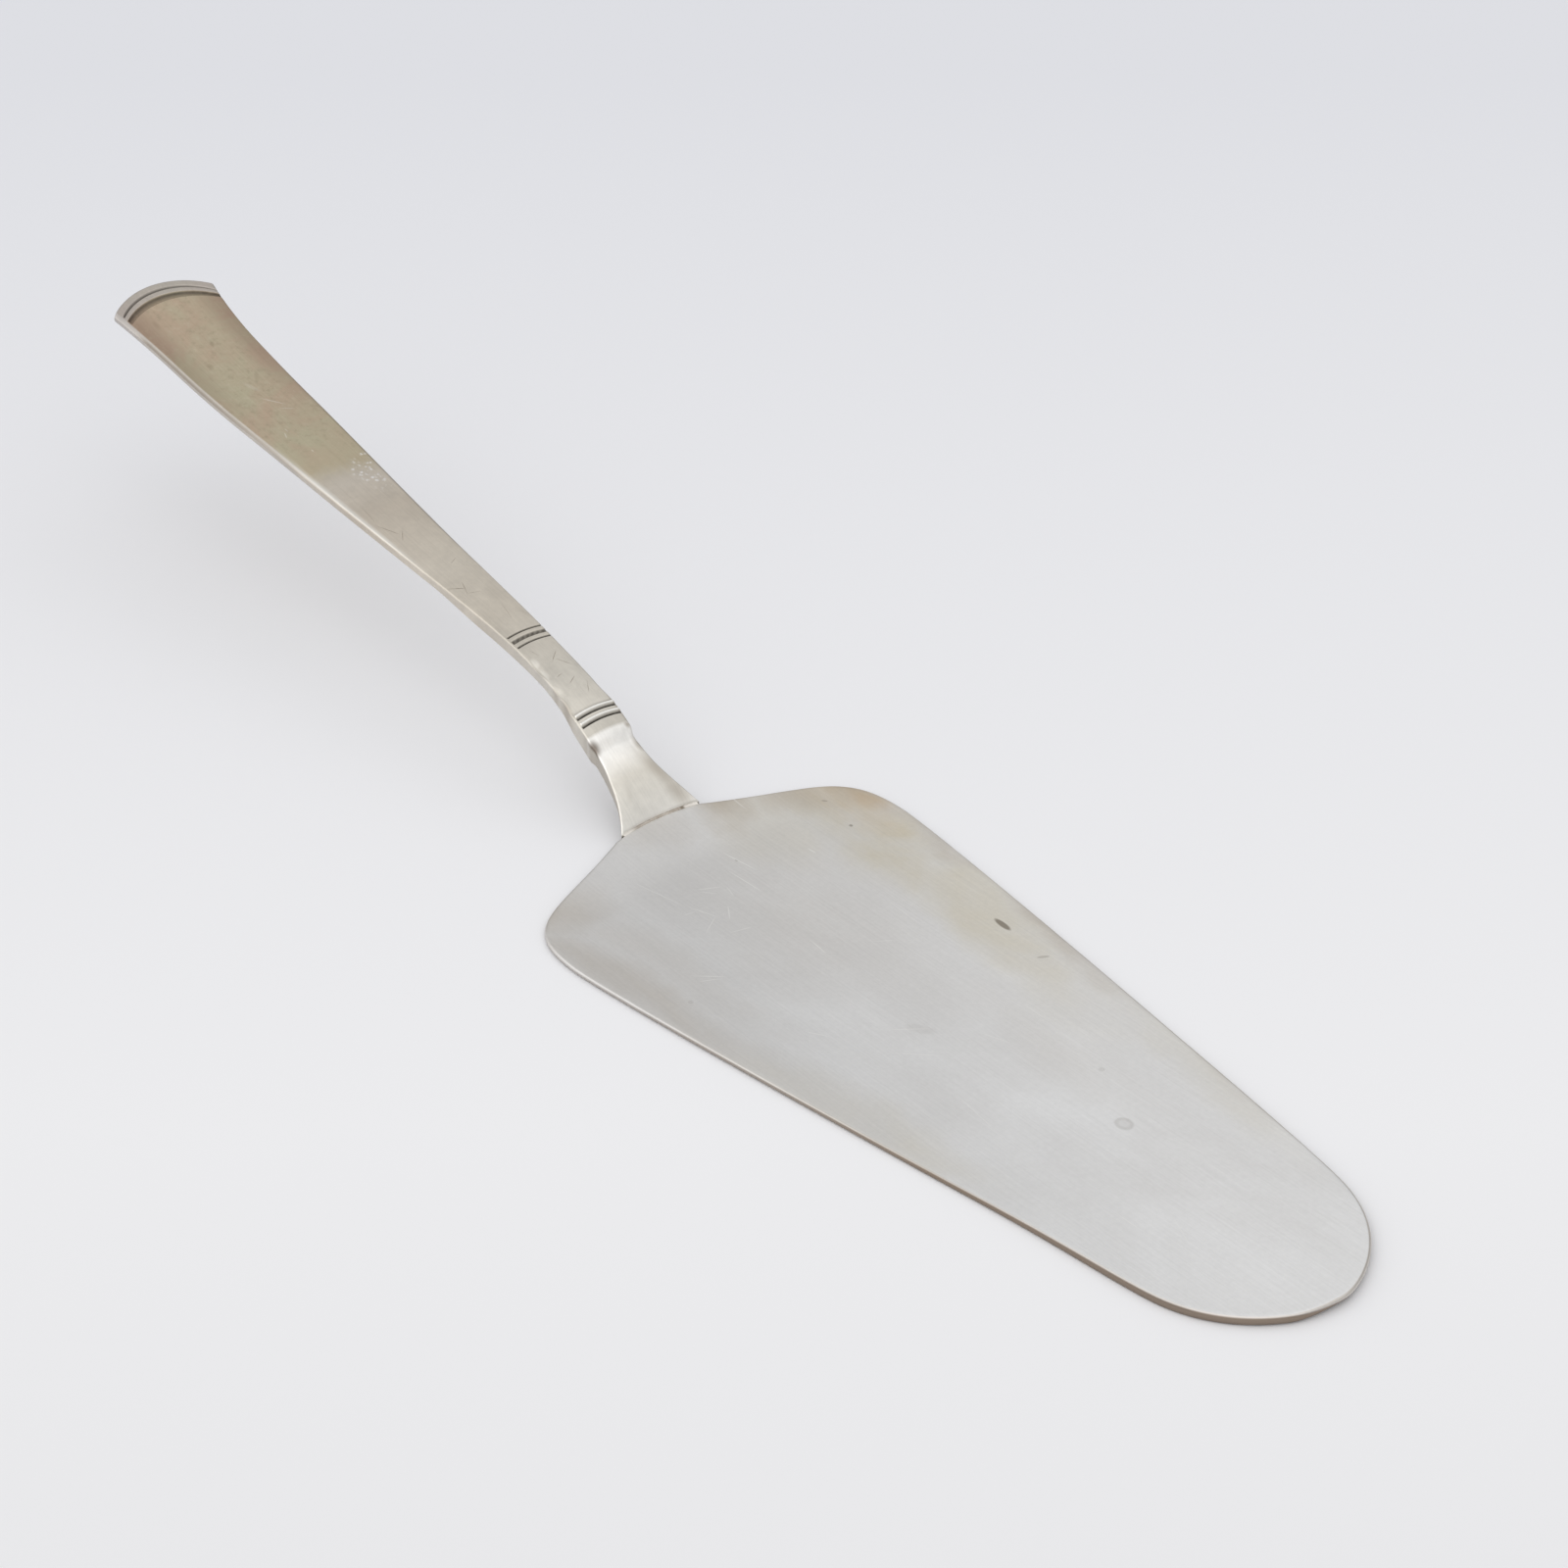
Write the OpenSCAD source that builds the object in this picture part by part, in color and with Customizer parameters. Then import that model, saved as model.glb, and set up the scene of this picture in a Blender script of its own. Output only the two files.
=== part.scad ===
// Cake server in silver: a flat pointed blade and a bent, fan-ended handle
// that spreads into a flare and is soldered edge to edge to the blade.
// Millimetres, +Z up, tip towards +X, handle towards -X.
// The origin is the middle of the flat underside that the server rests on.

/* [Blade] */
// Length from the seam to the tip
blade_len = 125; // [110:1:160]
// Width across the widest line
blade_w = 57; // [48:0.2:70]
// Thickness of the sheet
blade_t = 0.8; // [0.6:0.05:1.4]
// Width of the rear edge that takes the handle
neck_edge_w = 15; // [13.8:0.1:18]
// Distance from the seam to the widest line
widest_x = 18; // [14:0.5:26]
// Width where the long sides turn into the tip
tip_w = 30.6; // [24:0.2:38]
// Length of the rounded tip
tip_len = 14.5; // [12:0.5:22]
// Length of the part behind the flat that is bent up
neck_bend_len = 8; // [6:0.5:14]
// Height that the rear edge is bent up
neck_raise = 0.8; // [0.2:0.1:1.6]
// Length of the part in front of the flat that is bent up to the tip
tip_bend_len = 47; // [30:1:70]
// Height of the tip's underside above the table
tip_lift = 0.6; // [0.2:0.1:2]

/* [Handle outline] */
// Length from the seam to the crown of the fan end
handle_len = 122.5; // [115:0.5:150]
// Width of the flare at the seam
flare_w = 13.3; // [11:0.1:13.6]
// Length of the flare, from the seam to the collar
flare_len = 10.3; // [9:0.1:11.6]
// How far the flare's end sits to the side of the blade's middle
flare_shift = 0.7; // [0:0.1:0.8]
// Width at the collar
collar_w = 6.5; // [5.5:0.1:8]
// Width at the narrowest place
neck_w = 6.1; // [4.8:0.1:8]
// Distance from the seam to the narrowest place
neck_x = 25; // [22:0.5:26.5]
// Width of the shoulder, before the fan end spreads
shoulder_w = 14.7; // [11:0.1:16]
// Length of the fan end, corner to shoulder
fan_len = 13.2; // [10:0.2:20]
// Width across the corners of the fan end
fan_w = 17.5; // [14:0.1:22]
// Height of the arc of the fan end above its corners
fan_bulge = 3.3; // [2.4:0.1:4.4]

/* [Handle side line] */
// Distance from the seam to the end of the bend
bend_x = 22; // [19:0.5:24]
// Height of the upper edge at the end of the bend
bend_z = 16.4; // [12:0.1:20]
// Distance from the seam to the lowest slope
belly_x = 46; // [40:1:56]
// Height of the upper edge at the lowest slope
belly_z = 21.15; // [17:0.05:25]
// Distance from the seam to where the fan end lifts
lift_x = 90; // [75:1:100]
// Height of the upper edge where the fan end lifts
lift_z = 28.75; // [24:0.05:33]
// Height of the upper edge at the crown of the fan end
fan_z = 36.9; // [32:0.1:42]

/* [Handle section] */
// Height of the flare's upper edge above the blade at the seam
flare_proud = 0.3; // [0.1:0.05:0.6]
// Thickness at the collar
collar_t = 2.7; // [2.2:0.05:3.6]
// Height that the collar stands out of the neck's sides
collar_out = 0.35; // [0.1:0.05:0.6]
// Thickness of the neck behind the bend
neck_t = 2.1; // [1.7:0.05:3]
// Thickness at the lowest slope
belly_t = 1.5; // [1.3:0.05:2.6]
// Thickness of the upper handle
handle_t = 1.25; // [1.1:0.05:2.4]
// Height of the crown across the upper face
crown_h = 0.25; // [0:0.05:0.6]
// Radius of the worn upper edges
edge_r = 0.35; // [0.1:0.05:0.45]
// Width of the bevel that these edges open into on the upper handle
bevel_w = 0.95; // [0.5:0.05:1.3]
// Radius of the lower edges
under_r = 0.5; // [0.2:0.05:0.55]
// Depth of the scooped hollow below the collar
scoop_depth = 0.75; // [0.2:0.05:0.9]
// Length of the scooped hollow
scoop_len = 7.4; // [5:0.1:8.5]
// Length of the step between the collar and the hollow
scoop_step = 1.5; // [0.8:0.1:1.8]

/* [Grooves] */
// Distance from the collar's edge to the nearer of its two grooves
collar_groove_gap = 1.9; // [1.2:0.1:2.6]
// Spacing of the two collar grooves
collar_groove_pitch = 1.2; // [0.9:0.05:1.5]
// Distance from the seam to the middle neck groove
neck_groove_x = 28.3; // [27:0.1:32]
// Spacing of the three neck grooves
neck_groove_pitch = 1.15; // [0.95:0.05:1.5]
// Width of the fine grooves
fine_groove_w = 0.42; // [0.2:0.02:0.46]
// Depth of the fine grooves
fine_groove_d = 0.24; // [0.05:0.01:0.35]
// Width of the broad groove in the middle of the neck
broad_groove_w = 0.78; // [0.5:0.02:0.86]
// Depth of the broad groove
broad_groove_d = 0.2; // [0.05:0.01:0.35]
// Height of the raised line beside each collar groove
bead_h = 0.1; // [0.02:0.01:0.2]
// Height of the arc that the grooves of the neck and collar follow
neck_arc = 0.3; // [0:0.05:0.6]
// Distance at the corners from the end to the outer fan groove
fan_groove_1_x = 1.5; // [1.2:0.05:1.6]
// Distance at the corners from the end to the inner fan groove
fan_groove_2_x = 2.7; // [2.55:0.05:3.6]
// Width of the inner fan groove
fan_groove_w = 0.95; // [0.6:0.05:1.1]

/* [Seam] */
// Height of the rear edge's arc towards the handle
seam_bulge = 0.8; // [0.2:0.05:1.2]
// Width of the solder between blade and flare
solder_w = 0.22; // [0.1:0.02:0.4]
// Reach of the solder fillet over the blade
solder_reach = 0.4; // [0.2:0.05:0.7]

/* [Hidden] */
overrun = 1;

// Places derived from the sizes
seam_x = -(neck_bend_len + blade_len - tip_bend_len) / 2;
neck_edge_r = neck_edge_w / 2;
corner_x = handle_len - fan_bulge;
shoulder_x = corner_x - fan_len;
collar_groove_x = flare_len + collar_groove_gap;
collar_end = collar_groove_x + collar_groove_pitch;
blade_top_h = 2 * neck_raise + tip_lift + blade_t;

// Slopes of the handle's side line, rise over run
seam_slope = 1.1;
bend_slope = 0.28;
belly_slope = 0.155;
lift_slope = 0.17;
fan_slope = 0.33;

// Slopes of the handle's half width, in shares of the mean slope of the span
flare_ease_share = 2.2;
neck_ease_share = 0.5;
shoulder_ease_share = 0.7;
fan_ease_share = 1.7;

// Handles of the blade's curves, in shares of the spans that they follow
shoulder_out_shares = [0.39, 0.72];
shoulder_in_share = 0.7;
side_out_share = 0.09;
side_in_share = 0.145;
tip_out_share = 0.75;
tip_in_share = 0.2;
tip_slope = 0.24;

// Overlap of the bent line behind the seam, in shares of the bend
rear_share = 0.2;

// Arcs of the fan's grooves, in shares of the fan's bulge, and how fast they flatten
groove_arc_share = 1.33;
fan_ring_share = 0.85;
fan_ring_power = 1.35;
// Reach of the curved rings in front of the seam, in shares of the flare
seam_ring_share = 0.6;

// Ends of the collar, in shares of the hollow's step
collar_soft_share = 0.7;
collar_fade_share = 2.4;
// Width of the hollow's side walls, in shares of the half width, and the share of the
// hollow's depth by which its rims are lower than the collar
scoop_wall_share = 0.25;
scoop_rim_share = 0.5;
// Middle of a quarter round and of a flat bevel, in shares of their width
round_share = 0.29;
flat_share = 0.5;
// Width of a groove's floor, in shares of its width
groove_floor_share = 0.66;
// Rounding of the fan's edge: how far each ring stands out, and its height, in shares
end_out_shares = [0.7, 1];
end_height_shares = [0.8, 0.45];

// Counts of steps along the curves
curve_steps = 14;
seam_steps = 20;

// A point on the cubic curve with ends a, d and handles b, c
function bezier(a, b, c, d, t) =
    a * pow(1 - t, 3) + b * 3 * t * pow(1 - t, 2) + c * 3 * t * t * (1 - t) + d * pow(t, 3);

// The curve as points, without its last one
function bezier_run(a, b, c, d, n) = [for (i = [0 : n - 1]) bezier(a, b, c, d, i / n)];

// Smooth value at x along a chain of knots [x, value, slope]
function chain(k, x, i = 0) =
    i < len(k) - 2 && x > k[i + 1][0] ? chain(k, x, i + 1) : span_at(k[i], k[i + 1], x);
function span_at(a, b, x) =
    x > b[0]
    ? b[1] + b[2] * (x - b[0])
    : hermite(a[1], b[1], a[2], b[2], b[0] - a[0], (x - a[0]) / (b[0] - a[0]));
function hermite(v0, v1, m0, m1, l, u) =
    v0 * (2 * pow(u, 3) - 3 * u * u + 1) + v1 * (3 * u * u - 2 * pow(u, 3))
    + l * (m0 * (pow(u, 3) - 2 * u * u + u) + m1 * (pow(u, 3) - u * u));

function ramp(u) = u <= 0 ? 0 : u >= 1 ? 1 : u * u * (3 - 2 * u);

// Underside of the blade along its length, measured from the seam
blade_line = [
    [-neck_bend_len * rear_share, neck_raise * (1 + rear_share)],
    [neck_bend_len, 0],
    [blade_len - tip_bend_len, 0],
    [blade_len, tip_lift]];
function blade_under(x) = lookup(x, blade_line);

// Rear edge of the blade, an arc that stands out towards the handle
function seam_at(y) = -seam_bulge * (1 - pow(y / neck_edge_r, 2));
rear_edge = [
    for (i = [-seam_steps : seam_steps - 1])
    let (y = neck_edge_r * i / seam_steps)
    [seam_at(y), y]];

// One side of the blade, from the neck round the shoulder to the tip
neck_pt = [0, neck_edge_r];
widest_pt = [widest_x, blade_w / 2];
turn_pt = [blade_len - tip_len, tip_w / 2];
tip_pt = [blade_len, 0];
shoulder_out = [widest_x * shoulder_out_shares[0], (blade_w / 2 - neck_edge_r) * shoulder_out_shares[1]];
shoulder_in = [widest_x * shoulder_in_share, 0];
side_run = blade_len - tip_len - widest_x;
side_out = [side_run * side_out_share, 0];
side_in = [side_run * side_in_share, -side_run * side_in_share * tip_slope];
tip_out = [tip_len * tip_out_share, -tip_len * tip_out_share * tip_slope];
tip_in = [0, tip_w / 2 * tip_in_share];
blade_side = concat(
    bezier_run(neck_pt, neck_pt + shoulder_out, widest_pt - shoulder_in, widest_pt, curve_steps),
    bezier_run(widest_pt, widest_pt + side_out, turn_pt - side_in, turn_pt, curve_steps),
    bezier_run(turn_pt, turn_pt + tip_out, tip_pt + tip_in, tip_pt, curve_steps));
function mirrored(p) = [for (i = [len(p) - 1 : -1 : 1]) [p[i][0], -p[i][1]]];
blade_outline = concat(rear_edge, blade_side, [tip_pt], mirrored(blade_side));

// Upper edge of the handle, seen from the side: distance from the seam, height, slope
seam_top = blade_under(0) + blade_t + flare_proud;
edge_line = [
    [0, seam_top, seam_slope], [bend_x, bend_z, bend_slope], [belly_x, belly_z, belly_slope],
    [lift_x, lift_z, lift_slope], [handle_len, fan_z, fan_slope]];
slope_step = 0.5;
function edge_z(d) = chain(edge_line, d);
function edge_tilt(d) = atan((edge_z(d + slope_step) - edge_z(d)) / slope_step);

// Half width of the handle
width_line = [
    [0, flare_w / 2, -flare_ease_share * (flare_w - collar_w) / 2 / flare_len],
    [flare_len, collar_w / 2, 0],
    [neck_x, neck_w / 2, neck_ease_share * (shoulder_w - neck_w) / 2 / (shoulder_x - neck_x)],
    [shoulder_x, shoulder_w / 2, shoulder_ease_share * (shoulder_w - neck_w) / 2 / (shoulder_x - neck_x)],
    [corner_x, fan_w / 2, fan_ease_share * (fan_w - shoulder_w) / 2 / fan_len]];
collar_soft = scoop_step * collar_soft_share;
collar_fade = scoop_step * collar_fade_share;
function collar(d) = ramp((d - flare_len) / collar_soft + 1) * ramp((collar_end - d) / collar_fade + 1);
function half_w(d) = chain(width_line, d) + collar_out * collar(d);

// Thickness of the handle, square to its face
thick_line = [
    [0, (blade_t + flare_proud) * cos(edge_tilt(0)), 0], [flare_len, collar_t, 0],
    [bend_x, neck_t, 0], [belly_x - bend_x / 2, neck_t, 0], [belly_x, belly_t, 0], [lift_x, handle_t, 0]];
function drop_at(d) = chain(thick_line, d) / cos(edge_tilt(d));

// How far a ring of the handle is bent at a given side distance
function fan_share(d) =
    groove_arc_share * pow(max(0, 1 - (corner_x - d) / (fan_len * fan_ring_share)), fan_ring_power)
    - (groove_arc_share - 1) * ramp(1 - (corner_x - d) / (fan_groove_1_x - fine_groove_w / 2));
function arc_rise(y, w, b) =
    b <= 0
    ? 0
    : let (r = (w * w + b * b) / (2 * b)) sqrt(max(0, r * r - y * y)) - r + b;
function seam_share(d) = pow(max(0, 1 - d / (flare_len * seam_ring_share)), 2);
function face_bend(d, y) =
    arc_rise(y, half_w(d), fan_bulge * fan_share(d))
    + neck_arc * (1 - pow(y / half_w(d), 2))
    * ramp((d - flare_len) / scoop_step) * ramp((shoulder_x - d) / fan_len);
function seam_bend(d, y) = seam_share(d) * (solder_w - seam_at(y));

// Depth of a groove of width w and depth h around c, and of the other cuts, on ring d
function vee(d, c, w, h) = h * max(0, 1 - abs(d - c) / (w / 2));
function trough(d, c, w, h) = h * min(1, max(0, (1 - abs(d - c) / (w / 2)) / (1 - groove_floor_share)));
groove_ds = [
    collar_groove_x, collar_groove_x + collar_groove_pitch,
    neck_groove_x - neck_groove_pitch, neck_groove_x, neck_groove_x + neck_groove_pitch,
    corner_x - fan_groove_2_x, corner_x - fan_groove_1_x];
groove_ws = [
    fine_groove_w, fine_groove_w,
    fine_groove_w, broad_groove_w, fine_groove_w,
    fan_groove_w, fine_groove_w];
function groove_cut(d) =
    vee(d, groove_ds[0], fine_groove_w, fine_groove_d)
    + vee(d, groove_ds[1], fine_groove_w, fine_groove_d)
    + vee(d, groove_ds[2], fine_groove_w, fine_groove_d)
    + trough(d, groove_ds[3], broad_groove_w, broad_groove_d)
    + vee(d, groove_ds[4], fine_groove_w, fine_groove_d)
    + trough(d, groove_ds[5], fan_groove_w, fine_groove_d)
    + vee(d, groove_ds[6], fine_groove_w, fine_groove_d)
    - bead_h * (bump(d, groove_ds[0] + fine_groove_w) + bump(d, groove_ds[1] + fine_groove_w));
function bump(d, c) = max(0, 1 - pow((d - c) / (fine_groove_w / 2), 2));
function scoop_cut(d) =
    scoop_depth * ramp((flare_len - d) / scoop_step)
    * ramp(1 - (flare_len - scoop_step - d) / (scoop_len - scoop_step));
function rim_cut(d) = scoop_cut(d) * scoop_rim_share;

// Rings of the handle, from the seam to the corners of the fan end, finer at the grooves
function spread(a, b, step) =
    let (n = max(1, ceil((b - a) / step)))
    [for (i = [1 : n - 1]) a + (b - a) * i / n];
function groove_rings(i) = let (c = groove_ds[i], h = groove_ws[i] / 2)
    [c - h, c - h * groove_floor_share, c, c + h * groove_floor_share, c + h];
bead_rings = [for (i = [0, 1]) groove_ds[i] + fine_groove_w];
ring_ds = concat(
    [0], spread(0, flare_len - scoop_step, flare_len / 14),
    [for (i = [0 : 4]) flare_len - scoop_step * (1 - i / 4)],
    spread(flare_len, groove_ds[0] - groove_ws[0] / 2, flare_len / 20),
    groove_rings(0), [bead_rings[0], bead_rings[0] + fine_groove_w / 2],
    groove_rings(1), [bead_rings[1], bead_rings[1] + fine_groove_w / 2],
    [collar_end + collar_fade / 2, collar_end + collar_fade],
    spread(collar_end + collar_fade, groove_ds[2] - groove_ws[2] / 2, flare_len / 8),
    groove_rings(2), groove_rings(3), groove_rings(4),
    spread(groove_ds[4] + groove_ws[4] / 2, shoulder_x, handle_len / 50),
    [shoulder_x], spread(shoulder_x, groove_ds[5] - groove_ws[5] / 2, fan_len / 9),
    groove_rings(5), groove_rings(6),
    spread(groove_ds[6] + groove_ws[6] / 2, corner_x, fan_len / 16), [corner_x]);

// Places across the upper face, from one worn edge to the other
across_shares = [-1, -0.95, -0.87, -0.76, -0.6, -0.4, -0.2, 0, 0.2, 0.4, 0.6, 0.76, 0.87, 0.95, 1];
across_n = len(across_shares);
function scoop_side(s) = ramp((1 - abs(s)) / scoop_wall_share);

// One point of the handle at ring d, side distance y and height z over the edge line
function on_ring(d, y, up, shrink) =
    let (far = d + face_bend(d, y), z = edge_z(far), t = drop_at(far),
        aside = y + flare_shift * ramp(1 - d / (flare_len * seam_ring_share)))
    [seam_x - far - seam_bend(d, aside), aside, z - t / 2 + (t / 2 + up) * shrink];

// Worn edge along the upper face: how far in it starts, and how flat it is
function bevel_share(d) = ramp((d - belly_x) / (lift_x - belly_x));
function edge_in(d) = edge_r + (bevel_w - edge_r) * bevel_share(d);
function edge_mid(d) = round_share + (flat_share - round_share) * bevel_share(d);

// Section of the handle on ring d: underside, side, worn edge, upper face, and back
function side_points(d, side, shrink) =
    let (w = half_w(d), t = drop_at(d), e = edge_in(d), m = edge_mid(d), rim = rim_cut(d))
    [on_ring(d, side * (w - under_r * round_share), under_r * round_share - t, shrink),
     on_ring(d, side * w, under_r - t, shrink),
     on_ring(d, side * w, -edge_r - rim, shrink),
     on_ring(d, side * (w - e * m), -edge_r * m - rim, shrink)];
function turned(f) = [for (i = [len(f) - 1 : -1 : 0]) f[i]];
function ring(d, shrink = 1) =
    let (top = half_w(d) - edge_in(d), low = half_w(d) - under_r, t = drop_at(d))
    concat(
        [for (s = across_shares) on_ring(d, low * s, -t, shrink)],
        side_points(d, 1, shrink),
        turned([for (s = across_shares) on_ring(d, top * s, face_h(d, s), shrink)]),
        turned(side_points(d, -1, shrink)));
function face_h(d, s) =
    crown_h * (1 - s * s) * ramp(d / flare_len)
    - (abs(s) == 1 ? 0 : groove_cut(d))
    - rim_cut(d) - (scoop_cut(d) - rim_cut(d)) * scoop_side(s);

// The rings as points; the last ones round the end of the fan
function end_ring(i) = [
    for (q = ring(corner_x, end_height_shares[i]))
    q - [edge_r * end_out_shares[i], 0, 0]];
handle_rings = concat([for (d = ring_ds) ring(d)], [end_ring(0), end_ring(1)]);
ring_n = len(handle_rings[0]);
rings_n = len(handle_rings);
handle_pts = [for (r = handle_rings) for (p = r) p];

// Walls between rings of n points, m rings in all
function wall_faces(n, m) = [
    for (j = [0 : m - 2]) for (i = [0 : n - 1]) let (k = (i + 1) % n, a = j * n, b = a + n)
        for (f = [[a + i, a + k, b + k], [a + i, b + k, b + i]]) f];

// End face of the handle, in strips from the underside to the upper face
function end_strips(a, n, c) = concat(
    [for (i = [0 : c - 2]) [a + i + 1, a + i, a + n - 5 - i, a + n - 6 - i]],
    [[for (i = [c + 4 : -1 : c - 1]) a + i]],
    [concat([a], [for (i = [n - 1 : -1 : n - 5]) a + i])]);
handle_faces = concat(
    wall_faces(ring_n, rings_n),
    end_strips(0, ring_n, across_n),
    [for (f = end_strips((rings_n - 1) * ring_n, ring_n, across_n)) turned(f)]);

// Solder: fills the joint and makes a small fillet on the blade
solder_rise_share = 0.8;
solder_sag_share = 0.35;
solder_ys = [for (s = across_shares) flare_shift + (flare_w / 2 - edge_r) * s];
function solder_section(y) =
    let (x1 = seam_at(y), x2 = x1 + solder_reach, under = blade_under(x1), face = under + blade_t,
        rise = (seam_top - face) * solder_rise_share)
    [[seam_x + x1 - solder_w, y, under], [seam_x + x1, y, under], [seam_x + x1, y, face],
     [seam_x + x2, y, blade_under(x2) + blade_t], [seam_x + x1, y, face + rise * solder_sag_share],
     [seam_x + x1 - solder_w, y, face + rise]];
solder_n = len(solder_section(0));
solder_pts = [for (y = solder_ys) for (p = solder_section(y)) p];
solder_faces = concat(
    wall_faces(solder_n, across_n),
    [[for (i = [solder_n - 1 : -1 : 0]) i]],
    [[for (i = [0 : solder_n - 1]) (across_n - 1) * solder_n + i]]);

module blade() {
    color([0.77, 0.76, 0.74])
    translate([seam_x, 0, 0])
    intersection() {
        linear_extrude(height = blade_top_h + overrun)
            polygon(blade_outline);
        rotate([90, 0, 0])
        linear_extrude(height = blade_w + 2 * overrun, center = true)
            polygon(concat(
                [for (p = blade_line) p],
                [for (i = [len(blade_line) - 1 : -1 : 0]) blade_line[i] + [0, blade_t]]));
    }
}

module handle() {
    color([0.72, 0.69, 0.62])
    polyhedron(points = handle_pts, faces = handle_faces, convexity = 6);
}

module solder_seam() {
    color([0.55, 0.5, 0.43])
    polyhedron(points = solder_pts, faces = solder_faces, convexity = 4);
}

blade();
handle();
solder_seam();
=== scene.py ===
import math

import bmesh
import bpy
import numpy as np
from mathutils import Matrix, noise


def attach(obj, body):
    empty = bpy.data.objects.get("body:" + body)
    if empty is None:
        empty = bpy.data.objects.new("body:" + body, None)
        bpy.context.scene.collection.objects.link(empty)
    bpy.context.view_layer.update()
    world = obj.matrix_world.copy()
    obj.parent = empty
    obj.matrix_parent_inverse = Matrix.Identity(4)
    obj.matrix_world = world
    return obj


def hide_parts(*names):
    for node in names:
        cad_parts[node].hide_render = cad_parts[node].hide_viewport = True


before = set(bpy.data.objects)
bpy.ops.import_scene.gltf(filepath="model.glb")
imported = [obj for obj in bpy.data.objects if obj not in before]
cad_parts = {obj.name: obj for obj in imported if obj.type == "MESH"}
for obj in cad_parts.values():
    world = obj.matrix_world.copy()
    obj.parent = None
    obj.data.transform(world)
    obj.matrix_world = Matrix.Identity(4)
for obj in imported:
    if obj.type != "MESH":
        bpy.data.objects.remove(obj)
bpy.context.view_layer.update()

# Blade
# One flat sheet of rolled silver, sawn to a pointed outline and bent up a little at the back,
# where the handle is soldered on. Its edge is burnished round; its face keeps the fine lines
# of the brush along the length, with thin yellow tarnish and the scratches of use.
MM = 0.001
SEAM_X = -43.0
SEAM_BULGE = 0.8
NECK_EDGE_W = 15.0
BLADE_LEN = 125.0
BLADE_W = 57.0
BLADE_T = 0.8
WIDEST_X = 18.0
TIP_W = 30.6
TIP_LEN = 14.5
NECK_BEND_LEN = 8.0
NECK_RAISE = 0.8
TIP_BEND_LEN = 47.0
TIP_LIFT = 0.6
BEND_SOFT = 3.0
SHOULDER_OUT = (0.39, 0.72)
SHOULDER_IN = 0.7
SIDE_OUT = 0.09
SIDE_IN = 0.145
TIP_OUT = 0.75
TIP_IN = 0.2
TIP_SLOPE = 0.24
RIM_IN = 0.42
RIM_IN_AT_SEAM = 0.1
RIM_STEPS = 10
OUTLINE_POINTS = 620
FACE_SHARES = (0.02, 0.06, 0.13, 0.22, 0.32, 0.43, 0.55, 0.67, 0.79, 0.9, 1.0)
SPINE_FROM = 9.0
SPINE_TO = 108.0
SHEET_WAVE = 0.035
SHEET_WAVE_LEN = 26.0
SHEET_WAVE_RAISE = 0.35
RIM_WAVE = 0.05
RIM_WAVE_LEN = 3.5
# The near side of the tip is fuller than the far one, and its edge is turned down
TIP_FULLER = 1.25
TIP_FULL_X = 114.0
TIP_FULL_LEN = 15.0
TIP_FULL_FADE = 7.0
TIP_TURNED = 0.55
TIP_TURNED_LEN = 24.0
TIP_TURNED_SHARE = 0.2


def smooth_step(u):
    u = np.clip(u, 0.0, 1.0)
    return u * u * (3.0 - 2.0 * u)


def bezier(a, b, c, d, steps):
    t = np.linspace(0.0, 1.0, steps, endpoint=False)[:, None]
    a, b, c, d = (np.array(p, float) for p in (a, b, c, d))
    return a * (1 - t) ** 3 + 3 * b * t * (1 - t) ** 2 + 3 * c * t * t * (1 - t) + d * t ** 3


def wave(points, length, seed):
    return np.array([noise.noise((p[0] / length + seed, p[1] / length - seed, p[2] / length))
                     for p in points])


def new_piece(name, points, faces):
    mesh = bpy.data.meshes.new(name)
    mesh.from_pydata([tuple(p) for p in points * MM], [], faces)
    piece = bpy.data.objects.new(name, mesh)
    bpy.context.scene.collection.objects.link(piece)
    return piece


def skin(rows, n):
    """Quads between rows of n points, each of which runs once round the piece."""
    return [(j * n + i, j * n + (i + 1) % n, (j + 1) * n + (i + 1) % n, (j + 1) * n + i)
            for j in range(rows - 1) for i in range(n)]


def store(piece, name, values):
    """Keeps a number, or a place of three, with each point for the material to read."""
    kind, field = ("FLOAT", "value") if values.ndim == 1 else ("FLOAT_VECTOR", "vector")
    layer = piece.data.attributes.new(name, kind, "POINT")
    layer.data.foreach_set(field, values.astype(np.float32).ravel())


def close_up(piece, gap):
    shell = bmesh.new()
    shell.from_mesh(piece.data)
    bmesh.ops.remove_doubles(shell, verts=shell.verts, dist=gap)
    bmesh.ops.dissolve_degenerate(shell, edges=shell.edges, dist=gap)
    bmesh.ops.recalc_face_normals(shell, faces=shell.faces)
    for face in shell.faces:
        face.smooth = True
    shell.to_mesh(piece.data)
    shell.free()


def sheet_height(x):
    """Height of the underside: flat, and bent up at both ends with soft creases."""
    rear = NECK_RAISE * (NECK_BEND_LEN - x) / NECK_BEND_LEN
    front = TIP_LIFT * (x - BLADE_LEN + TIP_BEND_LEN) / TIP_BEND_LEN
    soft = ((rear, NECK_RAISE / NECK_BEND_LEN), (front, TIP_LIFT / TIP_BEND_LEN))
    total = 0.0
    for line, slope in soft:
        reach = slope * BEND_SOFT
        crease = np.maximum(0, line + reach) ** 2 / (4 * reach)
        total = total + np.where(line > reach, line, crease)
    return total


def rear_edge(y):
    """The arc of the seam: how far the blade's rear edge bulges towards the handle."""
    return -SEAM_BULGE * (1 - (y / (NECK_EDGE_W / 2)) ** 2)


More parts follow.
